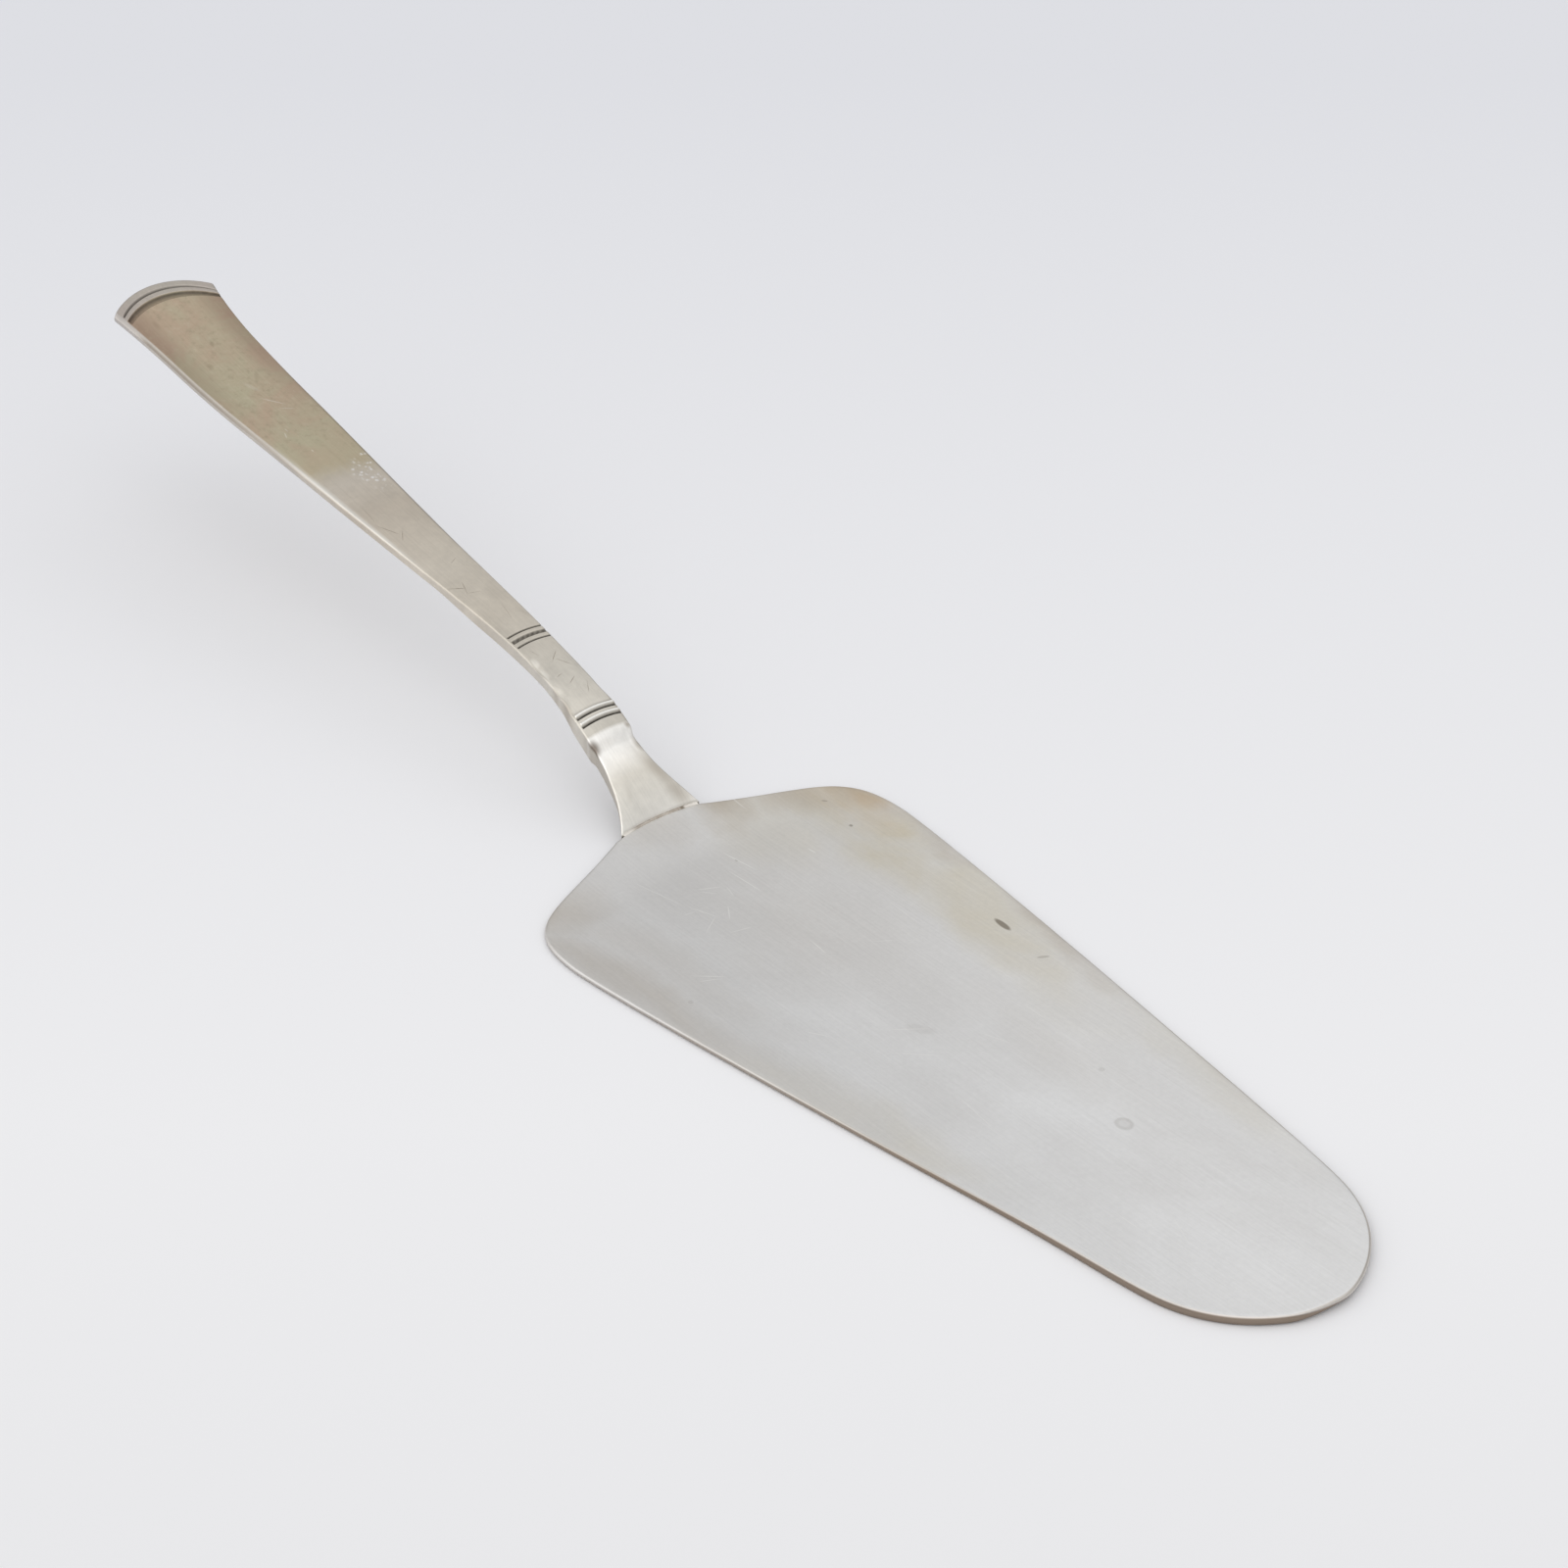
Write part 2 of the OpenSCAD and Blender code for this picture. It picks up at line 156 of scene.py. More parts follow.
rear_y = np.linspace(-NECK_EDGE_W / 2, NECK_EDGE_W / 2, 60, endpoint=False)
neck = (0.0, NECK_EDGE_W / 2)
widest = (WIDEST_X, BLADE_W / 2)
turn = (BLADE_LEN - TIP_LEN, TIP_W / 2)
tip = (BLADE_LEN, 0.0)
shoulder_h = (BLADE_W - NECK_EDGE_W) / 2 * SHOULDER_OUT[1]
side_run = BLADE_LEN - TIP_LEN - WIDEST_X
one_side = np.vstack([
    bezier(neck, (WIDEST_X * SHOULDER_OUT[0], NECK_EDGE_W / 2 + shoulder_h),
           (WIDEST_X * (1 - SHOULDER_IN), BLADE_W / 2), widest, 200),
    bezier(widest, (WIDEST_X + side_run * SIDE_OUT, BLADE_W / 2),
           (turn[0] - side_run * SIDE_IN, turn[1] + side_run * SIDE_IN * TIP_SLOPE), turn, 200),
    bezier(turn, (turn[0] + TIP_LEN * TIP_OUT, turn[1] - TIP_LEN * TIP_OUT * TIP_SLOPE),
           (BLADE_LEN, TIP_W / 2 * TIP_IN), tip, 200)])
rough_outline = np.vstack([
    np.stack([rear_edge(rear_y), rear_y], 1), one_side, [tip],
    one_side[:0:-1] * (1, -1)])
rough_outline = np.roll(rough_outline, -(len(rear_y) // 2), 0)

# Even spacing along the edge from the middle of the seam, so that both sides mirror each
# other and meet on the spine, and the direction inwards at each point
steps = np.hypot(*(np.roll(rough_outline, -1, 0) - rough_outline).T)
run = np.concatenate([[0.0], np.cumsum(steps)])
even = np.linspace(0, run[-1], OUTLINE_POINTS, endpoint=False)
closed = np.vstack([rough_outline, rough_outline[:1]])
outline = np.stack([np.interp(even, run, closed[:, k]) for k in range(2)], 1)
along = np.roll(outline, -1, 0) - np.roll(outline, 1, 0)
for _ in range(3):
    along = (np.roll(along, 1, 0) + 2 * along + np.roll(along, -1, 0)) / 4
along /= np.linalg.norm(along, axis=1)[:, None]
inwards = np.stack([along[:, 1], -along[:, 0]], 1)
inwards *= np.sign((inwards * (np.array([45.0, 0.0]) - outline)).sum(1).mean())
spine = np.column_stack([np.clip(outline[:, 0], SPINE_FROM, SPINE_TO), np.zeros(len(outline))])
near_tip = smooth_step(-outline[:, 1] / TIP_FULL_FADE)
fuller = near_tip * np.exp(-((outline[:, 0] - TIP_FULL_X) / TIP_FULL_LEN) ** 2)
turned = near_tip * np.exp(-((outline[:, 0] - TIP_FULL_X) / TIP_TURNED_LEN) ** 2)
outline -= inwards * TIP_FULLER * fuller[:, None]

# Rings from the middle of the underside, round the edge, to the middle of the face
at_seam = smooth_step((0.6 - outline[:, 0]) / 1.4) * (np.abs(outline[:, 1]) < NECK_EDGE_W / 2)
edge_in = RIM_IN * (1 - at_seam) + RIM_IN_AT_SEAM * at_seam
edge_3d = np.column_stack([outline, np.zeros(len(outline))])
edge_in = edge_in * (1 + 2 * RIM_WAVE * wave(edge_3d, RIM_WAVE_LEN, 3.1))
rim_start = outline + inwards * edge_in[:, None]


def face_ring(share, height):
    flat = rim_start * (1 - share) + spine * share
    down = TIP_TURNED * turned * max(0, 1 - share / TIP_TURNED_SHARE) if height == 0 else 0
    return np.column_stack([flat, height - down * np.ones(len(flat))])


def rim_ring(angle):
    flat = outline + inwards * (edge_in * (1 - math.cos(angle)))[:, None]
    rise = (1 + math.sin(angle)) / 2
    return np.column_stack([flat, BLADE_T * rise - TIP_TURNED * turned * (1 - rise)])


rings = [face_ring(share, 0.0) for share in FACE_SHARES[::-1]]
rings += [rim_ring(math.radians(a)) for a in np.linspace(-90, 90, RIM_STEPS + 1)]
rings += [face_ring(share, BLADE_T) for share in FACE_SHARES]
points = np.vstack(rings)
middle = smooth_step((points[:, 0] - 1.0) / 12)
points[:, 2] += sheet_height(points[:, 0])
flat_xy = points * (1, 1, 0)
points[:, 2] += SHEET_WAVE * middle * (wave(flat_xy, SHEET_WAVE_LEN, 7.7)
                                        + SHEET_WAVE_RAISE)
points[:, 0] += SEAM_X
points[:, 2] = np.maximum(points[:, 2], 0.0)
blade = new_piece("sheet_blade", points, skin(len(rings), OUTLINE_POINTS))
layers = np.concatenate([np.zeros(len(FACE_SHARES)), np.linspace(0, 1, RIM_STEPS + 1),
                         np.ones(len(FACE_SHARES))])
store(blade, "rim", np.repeat(layers, OUTLINE_POINTS))
close_up(blade, 0.002 * MM)


def linear(hex_colour):
    values = [int(hex_colour[i:i + 2], 16) / 255 for i in (1, 3, 5)]
    return [v / 12.92 if v <= 0.04045 else ((v + 0.055) / 1.055) ** 2.4 for v in values] + [1.0]


def plug(tree, node, inputs):
    """Sets inputs by name or number, each to a value, a socket, or a node's first output."""
    for key, value in inputs.items():
        if isinstance(value, bpy.types.Node):
            value = value.outputs[0]
        if isinstance(value, bpy.types.NodeSocket):
            tree.links.new(value, node.inputs[key])
        else:
            node.inputs[key].default_value = value


def add_node(tree, kind, inputs=None, **settings):
    """Adds one shader node with its settings and inputs."""
    node = tree.nodes.new("ShaderNode" + kind)
    for name, value in settings.items():
        setattr(node, name, value)
    plug(tree, node, inputs or {})
    return node


# Rolled silver, brushed along its length with fine grit and then used for years: a soft,
# slightly stretched gloss. The brush lines are drawn 0.3 mm wide, coarser than the real
# ones, so that they show. Tarnish is a thin yellow to brown film on the same metal.
SILVER = "#FBFBFB"
SILVER_DULL = "#F0EFEE"
TARNISH_YELLOW = "#DCD0B0"
TARNISH_BROWN = "#BFAF97"
STAIN_DARK = "#857B6C"
TARNISH_ORANGE = "#DDBE92"
# Brown of the lower edge and underside: partly tarnish, partly painted shade
RIM_BROWN_AND_SHADE = "#8E7E6F"
# Painted shade on the upper half of the edge towards the tip, dimming its highlight
RIM_DIMMED = "#C3BBB0"
SILVER_ROUGHNESS = 0.36
BRUSH_W = 0.3
BRUSH_LEN = 17.0
BRUSH_TONES = (0.952, 1.032)
SPECKLE_LEN = 0.7
SPECKLE_TONES = (0.975, 1.02)
CLOUD_LEN = 14.0
CLOUD_STRETCH = 0.6
# The films' outlines are pushed about: waves to the metre, and reach in m along and across
FILM_WAVES_PER_M = 90.0
FILM_PUSH = (0.014, 0.009, 0.0)
FILM_THINNED = 0.35
FILM_ROUGHER = 0.1
BRUSH_ROUGHER = 0.16
# Films of tarnish: place, half lengths, turn in degrees and strength; along, across in mm
YELLOW_FILMS = (
    (-24, 22, 26, 11, -8, 0.75), (0, 20, 40, 9, -9, 0.5), (-34, 14, 18, 14, 0, 0.25),
    (36, 19, 36, 6, -9, 0.25), (22, -20, 26, 6, 10, 0.3), (-14, 24, 20, 5, -6, 0.4))
BROWN_FILMS = (
    (-38, 20, 12, 9, 10, 0.5), (-36, 27, 16, 5, 10, 0.6), (-16, 27.5, 20, 3, -6, 0.35),
    (-37, -23, 13, 12, 0, 0.42), (-17, -26, 38, 7, 6, 0.36), (8, 25, 30, 3.4, -9, 0.4),
    (36, 22, 34, 3.4, -9, 0.2), (-16, 2, 40, 22, 0, 0.15), (24, 8, 26, 7, -4, 0.1),
    (-8, 3.5, 4.5, 2.4, 50, 0.16), (-41, 10, 9, 9, 0, 0.55), (-41, -1, 8, 9, 0, 0.22),
    (-20, -19, 30, 7, 5, 0.15))
ORANGE_FILMS = ((-29.5, 26, 7.5, 3.6, 10, 0.6), (-30, 24, 14, 6, 0, 0.3))
# Painted shade: the metal is painted darker towards the rear and the near side, where the light
# falls off
FALLOFF_TOWARDS = (0.35, 1.0, 0.0)
FALLOFF_FROM = -20.0
FALLOFF_TO = 22.0
FALLOFF_DARK = 0.85
FALLOFF_LIGHT = 0.98
# Dark stains, given as the films are
STAINS = ((3.8, 20.2, 1.9, 0.55, -4, 0.78), (-26.3, 20.2, 0.35, 0.3, 0, 0.55),
          (12.4, 19.3, 1, 0.3, 60, 0.3), (-33.2, 21.4, 0.5, 0.2, 40, 0.4),
          (34, 8.6, 0.5, 0.5, 0, 0.12), (-30, 3, 0.35, 0.2, 0, 0.3),
          (-9.5, -21.5, 0.5, 0.4, 0, 0.15), (13.5, -3, 2.4, 1, 30, 0.07))
# The ring that a drop left behind: place and half lengths, and strength from its edge inwards
RING_STAIN = (43.4, 3.1, 1.45, 1.25)
RING_TONES = ((0, 0), (0.03, 0), (0.22, 0.2), (0.4, 0.2), (0.6, 0.1), (1, 0.1))
# Single scratches: place, half length, half width, turn in degrees and strength
SCRATCHES = (
    (-29.5, 3.2, 3.6, 0.11, 8, 0.9), (-25.5, 0.8, 4.2, 0.09, 3, 0.8),
    (-27.4, -4, 1.9, 0.11, 62, 0.6), (-26.6, -4.6, 1.5, 0.09, 40, 0.6),
    (-23.4, -7.8, 2.6, 0.1, 20, 0.6), (-21.4, -5.4, 1.8, 0.12, -35, 0.6),
    (-20.8, -9, 2.4, 0.09, -58, 0.5), (-17.4, -6.6, 2, 0.09, 75, 0.5),
    (-25, -2.2, 1.4, 0.1, -15, 0.5), (-24.6, -9.4, 1.2, 0.12, 80, 0.4),
    (-30.4, -9.8, 5, 0.08, 12, 0.6), (-12.2, -16.2, 2.4, 0.1, 48, 0.7),
    (-11.6, -16.8, 1.6, 0.09, 62, 0.6), (-8, -1.4, 2.2, 0.11, -6, 0.8),
    (-3.5, 6, 1.7, 0.09, 55, 0.7), (-25.2, 12.2, 1, 0.13, 5, 0.9),
    (12.5, -4.2, 3.2, 0.08, 52, 0.7), (17, -6.8, 4.4, 0.08, 44, 0.6),
    (6, -13.5, 2, 0.09, 30, 0.6), (30, -9, 5, 0.08, -8, 0.5),
    (52, 6, 6, 0.08, 14, 0.45), (62, -6, 3.4, 0.08, -24, 0.45),
    (-6.5, 12.2, 4, 0.08, -3, 0.6), (21, 3, 3, 0.08, 20, 0.5))
# Random fine scratches: turn in degrees, how far apart, and where the pattern starts
FINE_SCRATCHES = ((4, 0.9, 0), (-21, 1.7, 3), (38, 2.2, 7), (-63, 2.8, 11))
FINE_SCRATCH_LEN = 34.0
FINE_SCRATCH_SHARE = 0.45
FINE_SCRATCH_STRENGTH = 0.45
SCRATCH_BRIGHT = "#FFFEFB"
SCRATCH_STRENGTH = 0.68
SCRATCH_DEPTH = 1.2


def spots(tree, coords, places, soft):
    """The strongest of soft elliptic spots; soft 1 is a cone, and less has a harder edge."""
    total = None
    for x, y, half_x, half_y, turn_deg, strength in places:
        moved = add_node(tree, "Mapping", {
            "Vector": coords, "Location": (x * MM, y * MM, 0),
            "Rotation": (0, 0, math.radians(turn_deg)),
            "Scale": (half_x * MM, half_y * MM, 1.0)}, vector_type="TEXTURE")
        cone = add_node(tree, "TexGradient", {"Vector": moved}, gradient_type="SPHERICAL")
        spot = add_node(tree, "MapRange", {
            "Value": cone.outputs["Fac"], "From Max": soft, "To Max": strength},
            interpolation_type="SMOOTHSTEP")
        total = spot if total is None else add_node(
            tree, "Math", {0: total, 1: spot}, operation="MAXIMUM")
    return total


def product(tree, first, *others):
    """Masks or tones, multiplied together."""
    for other in others:
        first = add_node(tree, "Math", {0: first, 1: other}, operation="MULTIPLY")
    return first


def broken_up(tree, mask, texture, low, high):
    """The mask, thinned where the texture is low."""
    thin = add_node(tree, "MapRange", {
        "Value": texture, "From Min": low, "From Max": high, "To Min": FILM_THINNED})
    return product(tree, mask, thin)


def layered(tree, colour, *layers):
    """A colour under layers of others, each given as the mask where it covers and its colour."""
    for mask, shade in layers:
        under, over = (linear(c) if isinstance(c, str) else c for c in (colour, shade))
        colour = add_node(tree, "Mix", {0: mask, 6: under, 7: over},
                          data_type="RGBA").outputs[2]
    return colour


def set_stops(ramp, stops):
    """Colours a ramp from 0 to 1: each stop is a position, and a grey value or a hex colour."""
    marks = ramp.color_ramp.elements
    for at, _ in stops[1:-1]:
        marks.new(at)
    for mark, (_, shade) in zip(marks, stops):
        mark.color = linear(shade) if isinstance(shade, str) else (shade, shade, shade, 1)


def new_material(name, metallic):
    """A new material, with its node tree and its shader."""
    material = bpy.data.materials.new(name)
    material.use_nodes = True
    tree = material.node_tree
    shader = tree.nodes["Principled BSDF"]
    shader.inputs["Metallic"].default_value = metallic
    return material, tree, shader


silver, tree, shader = new_material("rolled_silver_brushed", 1.0)
flat_coords = add_node(tree, "VectorMath", {
    0: add_node(tree, "TexCoord").outputs["Object"], 1: (1, 1, 0)}, operation="MULTIPLY")
sheet_x, sheet_y, _ = add_node(tree, "SeparateXYZ", {0: flat_coords}).outputs
brush = add_node(tree, "TexNoise", {
    "Vector": add_node(tree, "Mapping", {
        "Vector": flat_coords, "Scale": (1 / (BRUSH_LEN * MM), 1 / (BRUSH_W * MM), 1.0)}),
    "Scale": 1.0, "Detail": 3.0, "Roughness": 0.6})
clouds = add_node(tree, "TexNoise", {
    "Vector": add_node(tree, "Mapping", {
        "Vector": flat_coords,
        "Scale": (CLOUD_STRETCH / (CLOUD_LEN * MM), 1 / (CLOUD_LEN * MM), 1.0)}),
    "Scale": 1.0, "Detail": 4.0, "Roughness": 0.55, "Distortion": 0.6})
warp = add_node(tree, "TexNoise", {
    "Vector": flat_coords, "Scale": FILM_WAVES_PER_M, "Detail": 3.0})
warped = add_node(tree, "VectorMath", {
    0: add_node(tree, "VectorMath", {0: warp.outputs["Color"], 1: (0.5, 0.5, 0.5)},
                operation="SUBTRACT"),
    1: FILM_PUSH, 2: flat_coords}, operation="MULTIPLY_ADD")

# Films and stains over the bare metal, which is a little duller in clouds
yellow = broken_up(tree, spots(tree, warped, YELLOW_FILMS, 0.8), clouds, 0.35, 0.6)
brown = broken_up(tree, spots(tree, warped, BROWN_FILMS, 1.0), clouds, 0.2, 0.5)
orange = broken_up(tree, spots(tree, flat_coords, ORANGE_FILMS, 1.0), clouds, 0.3, 0.5)
ring_cone = add_node(tree, "TexGradient", {
    "Vector": add_node(tree, "Mapping", {
        "Vector": flat_coords, "Location": (RING_STAIN[0] * MM, RING_STAIN[1] * MM, 0),
        "Scale": (RING_STAIN[2] * MM, RING_STAIN[3] * MM, 1.0)}, vector_type="TEXTURE")},
    gradient_type="SPHERICAL")
ring = add_node(tree, "ValToRGB", {"Fac": ring_cone.outputs["Fac"]})
set_stops(ring, RING_TONES)
clear = add_node(tree, "MapRange", {"Value": clouds, "From Min": 0.3, "From Max": 0.7})
stains = spots(tree, flat_coords, STAINS, 0.4)
colour = layered(
    tree, SILVER_DULL, (clear, SILVER), (yellow, TARNISH_YELLOW), (brown, TARNISH_BROWN),
    (orange, TARNISH_ORANGE), (stains, STAIN_DARK), (ring, STAIN_DARK))

# Brush lines and speckles lighten and darken the metal a little, and painted shade darkens it
# towards the rear and the near side
grain = add_node(tree, "MapRange", {
    "Value": brush, "From Min": 0.25, "From Max": 0.75,
    "To Min": BRUSH_TONES[0], "To Max": BRUSH_TONES[1]})
painted_falloff = add_node(tree, "MapRange", {
    "Value": add_node(tree, "VectorMath", {0: flat_coords, 1: FALLOFF_TOWARDS},
                      operation="DOT_PRODUCT").outputs["Value"],
    "From Min": FALLOFF_FROM * MM, "From Max": FALLOFF_TO * MM,
    "To Min": FALLOFF_DARK, "To Max": FALLOFF_LIGHT})
speckle = add_node(tree, "TexNoise", {
    "Vector": flat_coords, "Scale": 1 / (SPECKLE_LEN * MM), "Detail": 2.0, "Roughness": 0.7})
speckle = add_node(tree, "MapRange", {
    "Value": speckle, "From Min": 0.3, "From Max": 0.7,
    "To Min": SPECKLE_TONES[0], "To Max": SPECKLE_TONES[1]})
colour = add_node(tree, "VectorMath", {
    0: colour, "Scale": product(tree, grain, painted_falloff, speckle)}, operation="SCALE")

# Scratches: random fine ones, each a long thin cell of a pattern, and the single ones
fine_lines = None
for turn_deg, apart, start in FINE_SCRATCHES:
    cells = add_node(tree, "TexVoronoi", {
        "Vector": add_node(tree, "Mapping", {
            "Vector": flat_coords, "Location": (start, start, start),
            "Rotation": (0, 0, math.radians(turn_deg)),
            "Scale": (1 / (FINE_SCRATCH_LEN * MM), 1 / (apart * MM), 1.0)}),
        "Scale": 1.0}, feature="F1")
    line = add_node(tree, "MapRange", {
        "Value": cells, "From Min": 0.03, "From Max": 0.075, "To Min": 1.0, "To Max": 0.0})
    some = add_node(tree, "Math", {
        0: add_node(tree, "SeparateColor", {"Color": cells.outputs["Color"]}),
        1: 1 - FINE_SCRATCH_SHARE}, operation="GREATER_THAN")
    line = product(tree, line, some)
    fine_lines = line if fine_lines is None else add_node(
        tree, "Math", {0: fine_lines, 1: line}, operation="MAXIMUM")
all_lines = add_node(tree, "Math", {
    0: product(tree, fine_lines, FINE_SCRATCH_STRENGTH),
    1: spots(tree, flat_coords, SCRATCHES, 0.5)}, operation="MAXIMUM")
colour = layered(tree, colour, (product(tree, all_lines, SCRATCH_STRENGTH), SCRATCH_BRIGHT))

# The lower half of the edge and the underside are painted brown: partly tarnish, partly painted
# shade of the edge turning under and of the dark gap beneath the tip, and the brown underside
# darkens the shadow on the table there. It is more towards the tip, and there most of all on the
# near side. Towards the tip the upper half is painted darker, a painted shade that dims its
# highlight.
rim = add_node(tree, "Attribute", attribute_name="rim").outputs["Fac"]
to_tip = add_node(tree, "MapRange", {
    "Value": sheet_x, "From Min": -35 * MM, "From Max": 35 * MM,
    "To Min": 0.35, "To Max": 0.95})
near_side = add_node(tree, "MapRange", {
    "Value": sheet_y, "From Min": 3 * MM, "From Max": -7 * MM, "To Max": -0.42})
higher = add_node(tree, "Math", {0: to_tip, 1: near_side, 2: rim}, operation="MULTIPLY_ADD")
low_rim = add_node(tree, "MapRange", {
    "Value": higher, "From Min": 0.54, "From Max": 0.3}, interpolation_type="SMOOTHSTEP")
low_rim = product(tree, low_rim, to_tip)
# Painted shade on the upper half of the edge, more towards the tip, dims its highlight
high_rim = add_node(tree, "MapRange", {
    "Value": rim, "From Min": 0.98, "From Max": 0.85}, interpolation_type="SMOOTHSTEP")
rim_dimming = add_node(tree, "MapRange", {
    "Value": sheet_x, "From Min": -15 * MM, "From Max": 30 * MM, "To Max": 0.7})
high_rim = add_node(tree, "Math", {0: product(tree, high_rim, rim_dimming), 1: low_rim},
                    operation="SUBTRACT", use_clamp=True)
colour = layered(tree, colour, (low_rim, RIM_BROWN_AND_SHADE), (high_rim, RIM_DIMMED))

# Tarnish takes the gloss off, and the brush lines and scratches stand in relief
film = add_node(tree, "Math", {0: yellow, 1: brown}, operation="MAXIMUM")
uneven = add_node(tree, "Math", {0: brush, 1: 0.5}, operation="SUBTRACT")
rough = SILVER_ROUGHNESS
for value, rougher in ((film, FILM_ROUGHER), (uneven, BRUSH_ROUGHER)):
    rough = add_node(tree, "Math", {0: value, 1: rougher, 2: rough}, operation="MULTIPLY_ADD")
relief = add_node(tree, "Math", {0: all_lines, 1: -SCRATCH_DEPTH, 2: brush},
                  operation="MULTIPLY_ADD")
bump = add_node(tree, "Bump", {"Height": relief, "Strength": 0.2, "Distance": 0.03 * MM})
plug(tree, shader, {"Base Color": colour, "Roughness": rough, "Normal": bump})
blade.data.materials.append(silver)
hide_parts("blade")
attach(blade, "root")

# Handle
# One forged bar of silver: a fan-shaped end with two curved grooves, a tapering grip, three
# grooves across the neck, a bend, a collar with two grooves, and a hollow that runs out into
# the flared foot on the blade. Hands have rounded its edges; its upper half has a patina.
FLARE_W = 13.3
FLARE_LEN = 10.3
COLLAR_W = 6.5
NECK_W = 6.1
NECK_X = 25.0
SHOULDER_W = 14.7
FAN_LEN = 13.2
FAN_W = 17.5
FAN_BULGE = 3.3
HANDLE_LEN = 122.5
CORNER_X = HANDLE_LEN - FAN_BULGE
SHOULDER_X = CORNER_X - FAN_LEN
FLARE_PROUD = 0.3
COLLAR_OUT = 0.35
CROWN = 0.18
FLARE_CROWN = 0.22
EDGE_R = 0.35
BEVEL_W = 0.64
UNDER_R = 0.5
SCOOP_DEPTH = 0.58
SCOOP_LEN = 7.4
SCOOP_STEP = 1.5
SCOOP_WALL = 0.35
SCOOP_RIM = 0.8
FLARE_SHIFT = 0.7
SOLDER_W = 0.22
NECK_ARC = 0.14
BELLY_X = 46.0
LIFT_X = 90.0
SEAM_TOP = NECK_RAISE + BLADE_T + FLARE_PROUD
SIDE_LINE = ((0, SEAM_TOP, 1.1), (22, 16.4, 0.28), (BELLY_X, 21.15, 0.155),
             (LIFT_X, 28.75, 0.17), (HANDLE_LEN, 36.9, 0.33))
SPREAD = (SHOULDER_W - NECK_W) / 2 / (SHOULDER_X - NECK_X)
WIDTH_LINE = ((0, FLARE_W / 2, -1.1 * (FLARE_W - COLLAR_W) / FLARE_LEN),
              (FLARE_LEN, COLLAR_W / 2, 0), (NECK_X, NECK_W / 2, 0.5 * SPREAD),
              (SHOULDER_X, SHOULDER_W / 2, 0.7 * SPREAD),
              (CORNER_X, FAN_W / 2, 0.85 * (FAN_W - SHOULDER_W) / FAN_LEN))
# Grooves: distance from the seam, width, depth, and whether the floor is broad
GROOVES = ((12.2, 0.42, 0.24, False), (13.4, 0.42, 0.24, False), (27.15, 0.42, 0.24, False),
           (28.3, 0.78, 0.2, True), (29.45, 0.42, 0.24, False),
           (CORNER_X - 2.7, 0.95, 0.24, True), (CORNER_X - 1.5, 0.42, 0.24, False))
COLLAR_GROOVES = 2
NECK_BROAD, FAN_BROAD, FAN_FINE = 3, 5, 6
BEAD_H = 0.16
# Dents of the hammer or of use: distance, side, half length, half width, depth
DENTS = ((22.3, -3, 1.9, 0.85, 0.34), (17.6, -3.1, 1, 0.8, 0.32),
         (19.6, -3.2, 0.55, 0.5, 0.16), (14.6, -3.3, 0.5, 0.4, 0.14),
         (25.6, -3.2, 0.7, 0.4, 0.12), (40, -3.5, 0.5, 0.4, 0.07),
         (36.4, -3.3, 0.4, 0.35, 0.05), (33.2, 2.9, 0.9, 0.5, 0.06),
         (47.5, -3.9, 0.45, 0.3, 0.05), (24.5, 1.4, 1.6, 1, 0.05),
         (18, 1, 2.4, 1.2, 0.04), (52.5, -4.2, 0.5, 0.3, 0.05),
         (20.6, 2.9, 1.2, 0.6, 0.07), (57, -4.5, 0.6, 0.35, 0.04))
# Waves of the hand-forged surface: length, seed and height
BAR_WAVES = ((9.0, 5.3, 0.03), (2.4, 1.9, 0.006))


def chain(knots, x):
    """Smooth value at x along knots of place, value and slope."""
    k = np.array(knots, float)
    x = np.asarray(x, float)
    i = np.clip(np.searchsorted(k[:, 0], x) - 1, 0, len(k) - 2)
    x0, v0, m0, x1, v1, m1 = (k[i + a, j] for a in (0, 1) for j in (0, 1, 2))
    span = x1 - x0
    u = (x - x0) / span
    value = (v0 * (2 * u ** 3 - 3 * u * u + 1) + v1 * (3 * u * u - 2 * u ** 3)
             + span * (m0 * (u ** 3 - 2 * u * u + u) + m1 * (u ** 3 - u * u)))
    return np.where(x > x1, v1 + m1 * (x - x1), value)


def edge_height(d):
    """Height of the upper edge of the bar at a distance from the seam."""
    return chain(SIDE_LINE, d)


def tilt(d):
    return np.arctan((edge_height(d + 0.5) - edge_height(d)) / 0.5)


def half_width(d):
    collar = (smooth_step((d - FLARE_LEN) / (SCOOP_STEP * 0.7) + 1)
              * smooth_step((GROOVES[1][0] - d) / (SCOOP_STEP * 2.4) + 1))
    return chain(WIDTH_LINE, d) + COLLAR_OUT * collar


THICK_LINE = ((0, (BLADE_T + FLARE_PROUD) * math.cos(tilt(0.0)), 0), (FLARE_LEN, 2.7, 0),
              (22, 2.1, 0), (35, 2.1, 0), (BELLY_X, 1.5, 0), (LIFT_X, 1.25, 0))


def drop(d):
    return chain(THICK_LINE, d) / np.cos(tilt(d))


def fan_arc(d):
    return (1.33 * np.maximum(0, 1 - (CORNER_X - d) / (FAN_LEN * 0.85)) ** 1.35
            - 0.33 * smooth_step(1 - (CORNER_X - d) / 1.29))


def face_bend(d, y):
    w = half_width(d)
    rise = np.maximum(FAN_BULGE * fan_arc(d), 1e-9)
    r = (w * w + rise * rise) / (2 * rise)
    arc = np.sqrt(np.maximum(0, r * r - y * y)) - r + rise
    neck_share = (smooth_step((d - FLARE_LEN) / SCOOP_STEP)
                  * smooth_step((SHOULDER_X - d) / FAN_LEN))
    return arc + NECK_ARC * neck_share * (1 - (y / w) ** 2)


